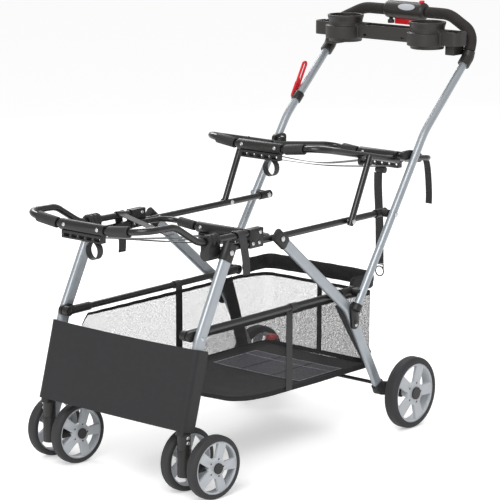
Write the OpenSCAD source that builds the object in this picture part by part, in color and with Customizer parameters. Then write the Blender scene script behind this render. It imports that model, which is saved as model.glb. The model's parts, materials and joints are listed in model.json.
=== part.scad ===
// Folding stroller frame that carries two infant car seats in a row.
// Front is -Y, right is +X, up is +Z, the floor is z = 0. Millimetres.

/* [Frame] */
// Half distance between the upper rails
rail_x = 190; // [170:1:210]
// Radius of the upper and lower rails
rail_r = 8; // [6:0.5:10]
// Height of the upper rails
rail_z = 558; // [520:1:600]
// Height of the lower rails
low_z = 376; // [340:1:420]
// Front leg pivot on the upper rail
front_pivot_y = -365; // [-400:1:-330]
// Rear leg pivot on the upper rail
rear_pivot_y = -162; // [-200:1:-120]
// Post pivot on the upper rail
post_pivot_y = 114; // [80:1:150]
// Handle pivot on the upper rail
handle_pivot_y = 259; // [230:1:290]
// Distance the lower rail pivots stand forward of the upper ones
low_offset = 116; // [90:1:140]
// Wall of every tube
wall = 1.5; // [1:0.1:2.5]

/* [Legs] */
// Half distance between the front legs
front_x = 219; // [205:1:235]
// Front leg section, fore and aft
front_w = 34; // [26:1:40]
// Front leg section, across
front_t = 18; // [14:1:22]
// Half distance between the rear legs
rear_x = 207.5; // [200:0.5:220]
// Rear leg section, fore and aft
rear_w = 29; // [24:1:36]
// Rear leg section, across
rear_t = 14; // [10:1:18]

/* [Wheels] */
// Front wheel radius
front_r = 76; // [60:1:90]
// Front tyre width
front_tyre_w = 28; // [22:1:34]
// Half distance between the two wheels of a caster
pair = 45; // [40:1:52]
// Distance the caster wheels trail the swivel
trail = 50; // [30:1:60]
// How far the casters are turned about the swivel
caster_turn = -6; // [-30:1:30]
// Swivel position along the frame
swivel_y = -518; // [-540:1:-490]
// Rear wheel radius
back_r = 92; // [76:1:110]
// Rear tyre width
back_tyre_w = 34; // [26:1:40]
// Half distance between the rear wheels
back_x = 257; // [245:1:270]
// Rear axle position along the frame
back_y = 304; // [280:1:330]

/* [Trays] */
// Cross bar of the front tray, front
tray1_front_y = -616; // [-640:1:-590]
// Cross bar of the front tray, rear
tray1_rear_y = -143; // [-170:1:-120]
// Half distance between the rear tray's side tubes
tray2_x = 186; // [175:1:189]
// Cross bar of the rear tray, front
tray2_front_y = 12; // [-10:1:40]
// Cross bar of the rear tray, rear
tray2_rear_y = 507; // [480:1:530]
// Half length of a cross bar plate
plate_x = 70; // [55:1:80]

/* [Handle] */
// Half distance between the handle tubes
handle_x = 226; // [218:1:236]
// Radius of the handle tubes
handle_r = 10; // [8:0.5:12]
// Foam radius
foam_r = 15; // [12:0.5:18]
// Half length of the parent tray
tray_x = 236; // [220:1:245]
// Cup holder inside radius
cup_r = 42; // [36:1:46]
// Cup holder position each side of the middle
cup_x = 134; // [120:1:145]

/* [Fits] */
// Radius of the fold pins
pin_r = 4; // [3:0.5:5]
// Running clearance on pins, axles and stems
run = 0.05; // [0.02:0.01:0.1]
// Clearance of a fixed sleeve round its tube
slip = 0.1; // [0.05:0.05:0.3]

/* [Hidden] */
$fn = 48;
right = 1;
left = -1;
xdir = [1, 0, 0];
ydir = [0, 1, 0];
zdir = [0, 0, 1];

// Side view points, each [y, z]
p_front = [front_pivot_y, rail_z];
p_rear = [rear_pivot_y, rail_z];
p_post = [post_pivot_y, rail_z];
p_handle = [handle_pivot_y, rail_z];
p_low_front = [front_pivot_y - low_offset, low_z];
p_low_rear = [handle_pivot_y - low_offset, low_z];
post_rise = [65, 139];
p_post_top = p_post + post_rise;
p_tray_rear = p_handle + post_rise;

front_bend = [-464, 366];
front_end = [-520, 165];
front_up = unit(p_front - front_bend);
front_down = unit(front_end - front_bend);
front_fwd = [front_down[1], -front_down[0]];
rear_bend = [104, 340];
rear_end = [235, 110];
rear_up = unit(p_rear - rear_bend);
rear_down = unit(rear_end - rear_bend);
back_axle = [back_y, back_r];

handle_slope = 0.668;
handle_low = [handle_pivot_y + handle_slope * (338 - rail_z), 338];
handle_bend = [handle_pivot_y + handle_slope * (752 - rail_z), 752];
handle_top = [572, 925];
handle_dir = unit(handle_top - handle_bend);
bar_lean = [0.34, 0.94];
bar_rise = 108;
bar_reach = 7.5;
bar_bend_r = 27;
elbow_reach = 26;
bar_mid = handle_top + bar_rise * bar_lean;
seam_turn = 0.1;
bar_up = [seam_turn, bar_lean[1], -bar_lean[0]];

rail_out = rail_x + rail_r;
rail_in = rail_x - rail_r;
axle_r = 5;
stem_r = 7;
head_r = 6.5;
tube2_r = 7;
cap_t = 2.5;
rim_front_r = 0.83 * front_r;
rim_back_r = 0.83 * back_r;
seam_z = 117.5;
pedal_pivot = [268, 112];
pedal_pad = [308, 152];
tray2_slope = -0.21;
latch_pivot = [437, 797];
lap = 2;
swell = 0.15;
over_bend = swell + slip;

function unit(v) = v / norm(v);
function at(x, p) = [x, p[0], p[1]];
function turn(p, i) = acos(min(1, unit(p[i] - p[i - 1]) * unit(p[i + 1] - p[i])));
function cut(p, r, i) = (i == 0 || i == len(p) - 1) ? 0 : r[i] * tan(turn(p, i) / 2);
function tray2_z(y) = 714 + tray2_slope * (y - p_post_top[0]);

// Places its child on one side of the frame
module on(side) {
  if (side == right) children();
  else mirror(xdir) children();
}

module both() {
  children();
  mirror(xdir) children();
}

// Turns the child's z axis from a towards b and its y axis towards up
module along(a, b, up) {
  d = unit(b - a);
  v = unit(up - (up * d) * d);
  u = cross(v, d);
  multmatrix([
    [u[0], v[0], d[0], a[0]],
    [u[1], v[1], d[1], a[1]],
    [u[2], v[2], d[2], a[2]]
  ]) children();
}

module elbow(p, r, i) {
  d1 = unit(p[i] - p[i - 1]);
  d2 = unit(p[i + 1] - p[i]);
  m = unit(d2 - (d2 * d1) * d1);
  w = cross(-m, d1);
  c = p[i] - cut(p, r, i) * d1 + r[i] * m;
  multmatrix([
    [-m[0], d1[0], w[0], c[0]],
    [-m[1], d1[1], w[1], c[1]],
    [-m[2], d1[2], w[2], c[2]]
  ]) rotate_extrude(angle = turn(p, i)) translate([r[i], 0]) children();
}

module bends(p, r) {
  for (i = [1:len(p) - 2]) elbow(p, r, i) children();
}

// Straight runs of a path, each reaching a little into the bend beside it
module runs(p, r, up, past) {
  n = len(p) - 1;
  for (i = [0:n - 1]) {
    d = unit(p[i + 1] - p[i]);
    a = p[i] + (i == 0 ? -past : cut(p, r, i) - lap) * d;
    b = p[i + 1] - (i == n - 1 ? -past : cut(p, r, i + 1) - lap) * d;
    along(a, b, up) linear_extrude(norm(b - a)) children();
  }
}

// Round tube along a path; its bends are a hair wider than its runs
module tube(p, r, up, outer, inner) {
  difference() {
    union() {
      runs(p, r, up, 0) circle(outer);
      bends(p, r) circle(outer + swell);
    }
    runs(p, r, up, 1) circle(inner);
    bends(p, r) circle(inner + swell);
  }
}

module oval_tube(p, r, up, w, t) {
  in_w = w - 2 * wall;
  in_t = t - 2 * wall;
  difference() {
    union() {
      runs(p, r, up, 0) oval(w, t);
      bends(p, r) oval(w + 2 * swell, t + 2 * swell);
    }
    runs(p, r, up, 1) oval(in_w, in_t);
    bends(p, r) oval(in_w + 2 * swell, in_t + 2 * swell);
  }
}

module ring(r, inner) {
  difference() {
    circle(r);
    circle(inner);
  }
}

module oval(w, t) {
  square([w - t, t], center = true);
  for (s = [left, right]) translate([s * (w - t) / 2, 0]) circle(t / 2);
}

// A round bar across the frame between two x values
module across(p, x0, x1, r) {
  along(at(x0, p), at(x1, p), zdir) cylinder(h = abs(x1 - x0), r = r);
}

// A plate across the frame with round ends at two side view points
module link(p, q, r, x0, x1) {
  d = unit(q - p);
  s = [-d[1], d[0]] * r;
  translate([x0, 0, 0]) multmatrix([[0, 0, 1, 0], [1, 0, 0, 0], [0, 1, 0, 0]])
    linear_extrude(x1 - x0) {
      translate(p) circle(r);
      translate(q) circle(r);
      polygon([p + s, q + s, q - s, p - s]);
    }
}

// A side view outline across the frame between two x values
module slab(outline, x0, x1) {
  translate([x0, 0, 0]) multmatrix([[0, 0, 1, 0], [1, 0, 0, 0], [0, 1, 0, 0]])
    linear_extrude(x1 - x0) polygon(outline);
}

module block(low, high) {
  translate(low) cube(high - low);
}

module strap(a, b, w, t, up) {
  along(a, b, up) linear_extrude(norm(b - a)) square([w, t], center = true);
}

// Upper frame

module upper_rail(side) {
  on(side) color("#1b1b1c") difference() {
    along([rail_x, front_pivot_y - 43, rail_z], [rail_x, handle_pivot_y + 9, rail_z], zdir)
      linear_extrude(handle_pivot_y - front_pivot_y + 52) ring(rail_r, rail_r - wall);
    for (p = [p_front, p_rear, p_post, p_handle])
      across(p, rail_in - 1, rail_out + 1, pin_r + run);
  }
}

module rail_end() {
  difference() {
    union() {
      along([rail_x, handle_pivot_y - 26, rail_z], [rail_x, handle_pivot_y + 16, rail_z], zdir)
        cylinder(h = 42, r = rail_r + 2.5);
      across(p_handle, rail_x, handle_x - handle_r - 0.5, 10);
    }
    along([rail_x, handle_pivot_y - 27, rail_z], [rail_x, handle_pivot_y, rail_z], zdir)
      cylinder(h = 36.3, r = rail_r + slip);
    across(p_handle, rail_in - 5, handle_x, pin_r + run);
  }
}

module saddle() {
  y0 = rear_pivot_y - 100;
  y1 = rear_pivot_y - 52;
  zt = rail_z + 24.5;
  difference() {
    block([rail_in - 1.6, y0, rail_z - 11], [rail_out + 1.6, y1, zt + 10]);
    along([rail_x, y0 - 1, rail_z], [rail_x, y1, rail_z], zdir)
      cylinder(h = y1 - y0 + 2, r = rail_r + slip);
    along(front_loop_right[0] - loop_dir, front_loop_right[1], zdir) cylinder(h = 60, r = rail_r + slip);
  }
  for (d = [10, 32]) across([y0 + d, rail_z], rail_out + 1.6, rail_out + 3.4, 4.5);
  across([y1 - 12, zt], rail_out + 1.6, rail_out + 3.4, 4.5);
}

module rail_brackets() {
  color("#202021") both() {
    rail_end();
    saddle();
    difference() {
      across(p_front, rail_out + 0.2, front_x - front_t / 2 - cap_t - 0.3, 7.5);
      across(p_front, rail_out, front_x, pin_r + run);
    }
  }
}

// A pin with a head at each end
module pin(p, x0, x1) {
  across(p, x0, x1, pin_r);
  across(p, x0 - 2, x0, head_r);
  across(p, x1, x1 + 2, head_r);
}

module fold_pins() {
  color("#c9cbcc") both() {
    pin(p_front, rail_in - 0.3, front_x + front_t / 2 + cap_t + 0.3);
    pin(p_rear, rail_in - 0.3, rear_x + rear_t / 2 + 2.1);
    pin(p_post, rail_in - 0.3, rail_out + 17.3);
    pin(p_handle, rail_in - 3, handle_x + handle_r + 0.3);
  }
}

// Seat trays

tray1_z = rail_z + 24.5;
tray1_bar_z = rail_z + 68;
tray1_back_z = rail_z - 10;
front_loop_right = [
  [rail_x, rear_pivot_y - 58, tray1_z], [rail_x, front_pivot_y - 67, tray1_z + 3],
  [rail_x, tray1_front_y + 100, tray1_bar_z + 10], [rail_x, tray1_front_y, tray1_bar_z + 13]
];
front_loop_dip = [plate_x + 6, tray1_front_y, tray1_bar_z];
loop_dir = unit(front_loop_right[1] - front_loop_right[0]);

function flip(p) = [-p[0], p[1], p[2]];
function mirror_path(half) = concat(half, [for (i = [len(half) - 1:-1:0]) flip(half[i])]);
function mirror_radii(half) = concat(half, [for (i = [len(half) - 1:-1:0]) half[i]]);

module front_tray_front_loop() {
  path = mirror_path(concat(front_loop_right, [front_loop_dip]));
  color("#1b1b1c") tube(path, mirror_radii([0, 70, 60, 42, 60]), zdir, rail_r, rail_r - wall);
}

rear_loop_x = 172;
rear_loop_half = [
  [rear_loop_x, rear_pivot_y - 92, rail_z + 3], [rear_loop_x, tray1_rear_y, rail_z - 1],
  [plate_x + 4, tray1_rear_y, tray1_back_z]
];

module front_tray_rear_loop() {
  path = mirror_path(rear_loop_half);
  color("#1b1b1c") tube(path, mirror_radii([0, 38, 60]), zdir, tube2_r, tube2_r - wall);
}

// Cover over the middle of a cross bar with rivets and a strap guide below
module plate(y, z, r) {
  difference() {
    union() {
      along([-plate_x, y, z], [plate_x, y, z], ydir) linear_extrude(2 * plate_x) oval(27, 22);
      block([-plate_x + 8, y - 9, z - 30], [plate_x - 8, y + 9, z - 12]);
    }
    along([-plate_x - 1, y, z], [plate_x + 1, y, z], zdir)
      cylinder(h = 2 * plate_x + 2, r = r + slip);
    for (x = [-50, -26, -2, 22, 46]) block([x - 4, y - 10, z - 26], [x + 14, y + 10, z - 18]);
  }
  for (x = [-53, 53])
    translate([x, y - 9.4, z + 2]) rotate([90, 0, 0]) cylinder(h = 3.2, r = 4.5);
}

module front_tray_plates() {
  color("#232324") {
    plate(tray1_front_y, tray1_bar_z, rail_r);
    plate(tray1_rear_y, tray1_back_z, tube2_r);
  }
}

// Sleeve on a run between two path points, from one share of it to another
module grip(a, b, from, to, r) {
  d = b - a;
  along(a + from * d, a + to * d, zdir)
    linear_extrude((to - from) * norm(d)) ring(r + 5, r + slip);
}

module front_tray_grips() {
  color("#2b2b2c") both() {
    grip(front_loop_dip, front_loop_right[3], 0.05, 0.6, rail_r);
    grip(rear_loop_half[2], rear_loop_half[1], 0.05, 0.58, tube2_r);
  }
}

module front_tray_clips() {
  y0 = front_pivot_y - 48;
  y1 = front_pivot_y - 8;
  zt = tray1_z + 2.7;
  color("#222223") both() difference() {
    union() {
      for (z = [zt, rail_z - 3]) along([rail_x, y0, z], [rail_x, y1, z], zdir)
        cylinder(h = y1 - y0, r = 15);
      block([rail_x - 13, y0, rail_z - 3], [rail_x + 13, y1, zt]);
      for (y = [y0 + 4, y0 + 18, y0 + 32]) along([rail_x, y, zt], [rail_x, y1, zt], zdir)
        cylinder(h = 4, r = 16.5);
    }
    along([rail_x, y0 + 4.5, rail_z], [rail_x, y1, rail_z], zdir)
      cylinder(h = 60, r = rail_r + slip);
    along([rail_x, y0 - 30, zt + 0.9], [rail_x, y1 + 30, zt - 0.55], zdir)
      cylinder(h = 110, r = rail_r + 0.6);
  }
}

module hanging_loop(x, y, z) {
  translate([x, y, z]) rotate([90, 0, 0]) translate([0, 0, -9])
    linear_extrude(18) ring(20, 18);
}

sling_y = front_pivot_y + 65;
guide_out = 11.6;

module front_tray_straps() {
  color("#19191a") {
    hanging_loop(34, tray1_front_y, tray1_bar_z - 50.3);
    for (s = [left, right]) {
      front = [s * 50, tray1_front_y + guide_out, tray1_bar_z - 22 + s * 3];
      back = [-s * 50, tray1_rear_y - guide_out, tray1_back_z - 22 + s * 3];
      strap(front, back, 22, 2, zdir);
      share = (sling_y - front[1]) / (back[1] - front[1]);
      meet = front + share * (back - front) + [0, 0, 2.2];
      strap([s * (rail_x + 6), sling_y, tray1_z + 11.8], [-meet[0], sling_y, meet[2] - s * 6], 26, 2, zdir);
    }
    tail = rail_out + 1.3;
    both() strap([tail, sling_y + 10, tray1_z + 8], [tail, sling_y + 24, rail_z - 72], 26, 2, xdir);
  }
}

// Front legs

module front_leg(side) {
  path = [at(front_x, p_front + 16 * front_up), at(front_x, front_bend), at(front_x, front_end)];
  on(side) color("#b4b8bb") difference() {
    oval_tube(path, [0, 90, 0], xdir, front_w, front_t);
    across(p_front, front_x - front_t, front_x + front_t, pin_r + run);
  }
}

module front_cap() {
  a = at(front_x, p_front + 20 * front_up);
  b = at(front_x, p_front - 22 * front_up);
  difference() {
    along(a, b, xdir) linear_extrude(42) oval(front_w + 2 * cap_t, front_t + 2 * cap_t);
    along(at(front_x, p_front + 16.5 * front_up), b, xdir)
      linear_extrude(60) oval(front_w + 2 * slip, front_t + 2 * slip);
    across(p_front, front_x - front_t, front_x + front_t, pin_r + run);
  }
}

// Plate inside the front leg with the stud the lower rail turns on
module low_bracket() {
  inner = front_x - front_t / 2 - 0.3;
  leg = [front_bend[0] + 5, low_z];
  link(p_low_front, leg, 12, rail_out + 3.2, inner);
  across(p_low_front, rail_in - 0.5, rail_out + 5, pin_r);
  across(p_low_front, rail_in - 2.5, rail_in - 0.5, head_r);
}

module caster_socket() {
  top = front_bend + 172 * front_down;
  difference() {
    union() {
      translate([front_x, swivel_y, seam_z + 0.5]) cylinder(h = 39.5, r = 16);
      along(at(front_x, front_end + 14 * front_down), at(front_x, top), xdir)
        linear_extrude(50) oval(front_w + 2 * cap_t + 1, front_t + 2 * cap_t);
    }
    along(at(front_x, front_end + 0.5 * front_down), at(front_x, top), xdir)
      linear_extrude(60) oval(front_w + 2 * slip, front_t + 2 * slip);
    translate([front_x, swivel_y, seam_z - 1]) cylinder(h = 38.5, r = stem_r + run);
  }
}

module front_leg_fittings() {
  color("#242425") both() {
    front_cap();
    low_bracket();
    caster_socket();
  }
}

// Point in the front leg's own side view: run down the leg, then forward of it
function leg_point(run_down, fwd) = front_bend + run_down * front_down + fwd * front_fwd;

module front_cross_tube() {
  p = leg_point(200, front_w / 2 + cap_t + 0.5 - tube2_r);
  x = front_x - front_t / 2 - cap_t - 0.2;
  color("#1b1b1c") along(at(-x, p), at(x, p), zdir) linear_extrude(2 * x)
    ring(tube2_r, tube2_r - wall);
}

module front_panel() {
  half = 236;
  face = front_w / 2 + cap_t + 0.8;
  thick = 2.5;
  top = leg_point(27, 0);
  bottom = leg_point(212, 0);
  color("#1f1f20") along(at(0, top), at(0, bottom), xdir) linear_extrude(norm(bottom - top)) difference() {
    translate([-face - thick, -half]) square([face + thick + 20, 2 * half]);
    translate([-face, -half + thick]) square([face + 21, 2 * (half - thick)]);
  }
}

// Casters and wheels

module caster_place(side) {
  translate([side * front_x, swivel_y, 0]) rotate(caster_turn) children();
}

module caster_fork(side) {
  half = 13;
  color("#2a2a2b") caster_place(side) difference() {
    union() {
      translate([0, 0, 54]) cylinder(h = seam_z - 54, r = 16);
      cylinder_stem();
      translate([-half, 0, front_r - 19]) cube([2 * half, trail, 38]);
      across([trail, front_r], -half, half, 19);
      across([trail, front_r], -pair + 15, pair - 15, 10);
    }
    across([trail, front_r], -pair, pair, axle_r + run);
  }
}

module cylinder_stem() {
  translate([0, 0, seam_z - 4]) cylinder(h = 41, r = stem_r);
}

module caster_axle(side) {
  color("#2d2d2e") caster_place(side) {
    across([trail, front_r], -pair - 17, pair + 17, axle_r);
    for (s = [left, right])
      across([trail, front_r], s * (pair + 17.5) - 1.5, s * (pair + 17.5) + 1.5, 13);
  }
}

// Tyre section turned about the z axis
module tyre(r, inner, w) {
  soft = 9;
  rotate_extrude() difference() {
    union() {
      translate([inner, -w / 2]) square([r - soft - inner, w]);
      translate([inner, -w / 2 + soft]) square([r - inner, w - 2 * soft]);
      for (s = [left, right]) translate([r - soft, s * (w / 2 - soft)]) circle(soft);
    }
    translate([0, -w]) square([inner, 2 * w]);
  }
}

// Barrel, five flat spokes on the outer face and a hub
module rim(r, w) {
  face = w / 2 - 2;
  depth = 8;
  difference() {
    union() {
      translate([0, 0, -w / 2 + 2]) linear_extrude(w - 4) ring(r, r - 3.5);
      translate([0, 0, face - depth]) linear_extrude(depth) {
        circle(0.4 * r);
        ring(r, 0.93 * r);
        for (i = [0:4]) rotate(72 * i)
          polygon([[0, -0.14 * r], [0.95 * r, -0.2 * r], [0.95 * r, 0.2 * r], [0, 0.14 * r]]);
      }
      translate([0, 0, -w / 2]) cylinder(h = w - 1.5, r = 0.2 * r);
    }
    translate([0, 0, -w]) cylinder(h = 2 * w, r = axle_r + run);
    for (i = [0:4]) rotate(72 * i) translate([0.34 * r, 0, face - 1.5]) cylinder(h = 3, r = 0.04 * r);
  }
}

// Wheel of a caster: away is +1 on the caster's +X side
module front_wheel(side, away) {
  caster_place(side) translate([away * pair, trail, front_r]) rotate([0, away * 90, 0]) rotate(18)
    children();
}

module front_tyre(side, away) {
  color("#2c2c2e") front_wheel(side, away) tyre(front_r, rim_front_r + 0.1, front_tyre_w);
}

module front_rim(side, away) {
  color("#b9bcc0") front_wheel(side, away) rim(rim_front_r, front_tyre_w);
}

module back_wheel(side) {
  translate([side * back_x, back_y, back_r]) rotate([0, side * 90, 0]) rotate(18) children();
}

module rear_tyre(side) {
  color("#2c2c2e") back_wheel(side) tyre(back_r, rim_back_r + 0.1, back_tyre_w);
}

module rear_rim(side) {
  color("#b9bcc0") back_wheel(side) rim(rim_back_r, back_tyre_w);
}

// Lower rails and basket

module lower_rail(side) {
  y0 = p_low_front[0] + 15;
  y1 = p_low_rear[0] - 15;
  on(side) color("#1b1b1c") along([rail_x, y0, low_z], [rail_x, y1, low_z], zdir)
    linear_extrude(y1 - y0) ring(rail_r, rail_r - wall);
}

// Eye on a pivot with a sleeve over the rail
module rail_eye(p, s, sleeve) {
  difference() {
    union() {
      across(p, rail_in, rail_out, 12);
      along(at(rail_x, p + s * [8, 0]), at(rail_x, p + s * [sleeve, 0]), zdir)
        cylinder(h = sleeve - 8, r = rail_r + 2.5);
    }
    along(at(rail_x, p + s * [14, 0]), at(rail_x, p + s * [sleeve, 0]), zdir)
      cylinder(h = sleeve, r = rail_r + slip);
    across(p, rail_in - 5, rail_out + 5, pin_r + run);
  }
}

module lower_rail_fittings() {
  color("#242425") both() {
    rail_eye(p_low_front, 1, 74);
    rail_eye(p_low_rear, -1, 50);
  }
}

basket_x = 177.6;
basket_back = p_low_rear[0] + 111;
basket_z = low_z - 220;
basket_line = [
  [p_low_front[0] + 49, basket_z + 76], [p_low_front[0] + 101, basket_z + 40], [-240, basket_z + 7],
  [-70, basket_z], [108, basket_z + 4], [basket_back, basket_z]
];

module basket_sides() {
  cloth = 1.6;
  top = low_z - 4;
  front = basket_line[0][0];
  back_top = low_z - 12.3;
  band_y = basket_back - 104.4;
  rim_front = [[front, top], [front - 18, top - 30]];
  rim_back = [[basket_back, back_top], [band_y, back_top], [band_y, top]];
  outline = concat(rim_front, basket_line, rim_back);
  color("#8e9093") {
    both() slab(outline, basket_x, basket_x + cloth);
    block([-basket_x, basket_back - cloth, basket_z + 3.2], [basket_x, basket_back, back_top]);
  }
}

module basket_floor() {
  n = len(basket_line);
  lower = [for (i = [n - 1:-1:0]) basket_line[i] + [0, 3]];
  bow = basket_line[0] + [-18, 68];
  half = basket_x - 0.4;
  color("#1d1d1e") slab(concat(basket_line, lower, [bow + [4, 0], bow]), -half, half);
}

// Band behind the basket, side webbing and the stay straps to the rear legs
module basket_trim() {
  band = 3;
  band_r = 50;
  half = basket_x + 1;
  y0 = basket_back - 104;
  y1 = basket_back - 42;
  flat = half - band_r;
  color("#161617") {
    translate([0, 0, low_z - 12]) linear_extrude(40) difference() {
      union() {
        translate([-half, y0]) square([2 * half, y1 - y0]);
        translate([-flat, y0]) square([2 * flat, y1 - y0 + band_r]);
        for (s = [left, right]) translate([s * flat, y1]) circle(band_r);
      }
      translate([band - half, y0 - 1]) square([2 * (half - band), y1 - y0 + 1]);
      translate([-flat, y0 - 1]) square([2 * flat, y1 - y0 + band_r - band + 1]);
      for (s = [left, right]) translate([s * flat, y1]) circle(band_r - band);
    }
    both() {
      block([half + 1.2, -104, basket_z + 8], [half + 3.1, -80, low_z + 2]);
    }
    on(left) strap([half + 7, 98, low_z - 16.9], [half + 7, 165, basket_z + 2], 40, 2, xdir);
    on(right) strap([half + 7, 98, low_z - 22.4], [half + 7, 215, basket_z + 30], 40, 2, xdir);
    block([-16, basket_back + 0.4, basket_z + 4], [8, basket_back + 2, low_z - 12.2]);
  }
}

// Rear legs, axles and brake

module rear_leg(side) {
  path = [at(rear_x, p_rear + 14 * rear_up), at(rear_x, rear_bend), at(rear_x, rear_end)];
  on(side) color("#b4b8bb") difference() {
    oval_tube(path, [0, 90, 0], xdir, rear_w, rear_t);
    across(p_rear, rear_x - rear_t, rear_x + rear_t, pin_r + run);
  }
}

module rear_cap() {
  a = at(rear_x, p_rear + 18 * rear_up);
  b = at(rear_x, p_rear - 24 * rear_up);
  side = 1.8;
  difference() {
    along(a, b, xdir) linear_extrude(42) oval(rear_w + 5, rear_t + 2 * side);
    along(at(rear_x, p_rear + 14.5 * rear_up), b, xdir)
      linear_extrude(60) oval(rear_w + 2 * slip, rear_t + 2 * slip);
    across(p_rear, rear_x - rear_t, rear_x + rear_t, pin_r + run);
  }
}

housing_in = 197;
housing_out = 218;

module axle_housing(pedal) {
  low = rear_end + 4 * rear_down;
  sleeve = 14;
  difference() {
    union() {
      along(at(rear_x, low), at(rear_x, rear_end - sleeve * rear_down), xdir)
        linear_extrude(sleeve + 4) oval(rear_w + 8, housing_out - housing_in);
      link(rear_end + [4, -2], back_axle, 17, housing_in + 0.8, housing_out - 0.8);
      across(back_axle, housing_in, 231, 18);
      across(back_axle, 231, back_x - back_tyre_w / 2 - 0.4, 11);
      if (pedal) {
        link(rear_end + [20, 4], pedal_pivot, 10, housing_in + 1.6, housing_out - 1.6);
        across(pedal_pivot, 185, housing_in + 3, pin_r);
        across(pedal_pivot, 183, 185, head_r);
      }
    }
    along(at(rear_x, rear_end + 0.5 * rear_down), at(rear_x, rear_bend), xdir)
      linear_extrude(120) oval(rear_w + 2 * slip, rear_t + 2 * slip);
    across(back_axle, housing_in - 1, back_x, axle_r + run);
  }
}

module rear_leg_fittings() {
  color("#242425") for (s = [left, right]) on(s) {
    rear_cap();
    axle_housing(s == left);
  }
}

// Cross rod between the legs and a stub with a cap for each wheel
module rear_axles() {
  rod = [222, 124];
  x = rear_x - rear_t / 2 - 0.2;
  end = back_x + back_tyre_w / 2;
  color("#9a9da0") {
    across(rod, -x, x, 4.5);
    both() {
      across(back_axle, housing_in, end + 2, axle_r);
      across(back_axle, end + 0.6, end + 4.2, 16);
    }
  }
}

module brake_pedal() {
  x0 = 186;
  x1 = 196;
  pad_out = 229;
  pad_long = 38;
  pad_t = 8;
  pad_tilt = 38;
  on(left) color("#b3202b") difference() {
    union() {
      link(pedal_pivot, pedal_pad, 9, x0, x1);
      translate(at(x1 - 1, pedal_pad)) rotate([pad_tilt, 0, 0])
        block([0, -pad_long / 2, -pad_t / 2], [pad_out - x1 + 1, pad_long / 2, pad_t / 2]);
    }
    across(pedal_pivot, x0 - 1, x1 + 1, pin_r + run);
  }
}

// Posts and rear tray

post_x = 207;

module tray_posts() {
  d = unit(post_rise);
  a = at(post_x, p_post - 10 * d);
  b = at(post_x, p_post_top + 18 * d);
  color("#1b1b1c") both() difference() {
    along(a, b, xdir) linear_extrude(norm(b - a)) ring(rail_r, rail_r - wall);
    for (p = [p_post, p_post_top]) across(p, post_x - 10, post_x + 10, pin_r + run);
  }
}

tray2_end = p_tray_rear[0] + 6;
tray2_half = [
  [tray2_x, tray2_end, tray2_z(tray2_end)], [tray2_x, tray2_front_y, tray2_z(tray2_front_y)],
  [plate_x + 6, tray2_front_y, tray2_z(tray2_front_y) - 13]
];

// Lug on the side tube with a stud that points outward
module tray_lug(p, x1) {
  link([p[0], tray2_z(p[0])], p, 9, tray2_x - 4, tray2_x + 4);
  across(p, tray2_x, x1, pin_r);
}

module rear_tray_front_loop() {
  path = mirror_path(tray2_half);
  color("#1b1b1c") {
    tube(path, mirror_radii([0, 42, 60]), zdir, rail_r, rail_r - wall);
    both() {
      tray_lug(p_post_top, post_x + rail_r + 0.4);
      across(p_post_top, post_x + rail_r + 0.4, post_x + rail_r + 2.2, head_r - 1);
      tray_lug(p_tray_rear, 204.5);
    }
  }
}

tray2_back_x = tray2_x - rail_r - tube2_r - 0.3;
tray2_back_z = p_tray_rear[1] - 42;
tray2_back_half = [
  [tray2_back_x, 262, tray2_z(262) - 2], [tray2_back_x, tray2_rear_y, tray2_back_z + 9],
  [plate_x + 4, tray2_rear_y, tray2_back_z]
];

module rear_tray_rear_loop() {
  path = mirror_path(tray2_back_half);
  color("#1b1b1c") tube(path, mirror_radii([0, 38, 60]), zdir, tube2_r, tube2_r - wall);
}

module rear_tray_plates() {
  color("#232324") {
    plate(tray2_front_y, tray2_half[2][2], rail_r);
    plate(tray2_rear_y, tray2_back_z, tube2_r);
  }
}

module rear_tray_grips() {
  color("#2b2b2c") both() {
    grip(tray2_half[2], tray2_half[1], 0.05, 0.58, rail_r);
    grip(tray2_back_half[2], tray2_back_half[1], 0.05, 0.55, tube2_r);
  }
}

module rear_tray_straps() {
  y = tray2_rear_y;
  front_z = tray2_half[2][2] - 22;
  back_z = tray2_back_z - 22;
  reel_z = tray2_back_z - 41.3;
  ring_z = reel_z - 269.7;
  color("#19191a") {
    hanging_loop(34, tray2_front_y, front_z - 28.3);
    for (s = [left, right]) {
      front = [s * 50, tray2_front_y + guide_out, front_z + s * 3];
      strap(front, [-s * 50, y - guide_out, back_z + s * 3], 22, 2, zdir);
    }
    across([y, reel_z], -16, 16, 11);
    block([-9, y - 1, ring_z + 13.5], [9, y + 1, reel_z - 9.7]);
    translate([0, y, ring_z]) rotate([90, 0, 0]) translate([0, 0, -2]) linear_extrude(4) ring(14, 9);
    strap([139.5, y, tray2_back_z - 2], [139.5, y + 26, tray2_back_z - 115], 20, 2, ydir);
  }
}

// Handle

module handle_tube(side) {
  end = handle_top - (bar_reach + 0.5) * handle_dir;
  path = [at(handle_x, handle_low), at(handle_x, handle_bend), at(handle_x, end)];
  on(side) color("#b4b8bb") difference() {
    tube(path, [0, 180, 0], xdir, handle_r, handle_r - wall);
    across(p_handle, handle_x - 15, handle_x + 15, pin_r + run);
  }
}

// Point on the handlebar's own plane
function bar_point(x, rise) = at(x, handle_top + rise * bar_lean);

bar_half = [
  at(handle_x, handle_top - bar_reach * handle_dir), at(handle_x, handle_top),
  bar_point(handle_x, 64), bar_point(140, bar_rise)
];

module handlebar_tube() {
  path = mirror_path(bar_half);
  color("#1b1b1c") tube(path, mirror_radii([0, bar_bend_r, 52, 90]), bar_up, handle_r, handle_r - wall);
}

module handle_elbows() {
  low = handle_top - elbow_reach * handle_dir;
  path = [at(handle_x, low), at(handle_x, handle_top), bar_point(handle_x, 16)];
  color("#2a2a2b") both() tube(path, [0, bar_bend_r, 0], xdir, foam_r + 1, handle_r + over_bend);
}

console_x = 66;
console_r = 23;

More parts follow.
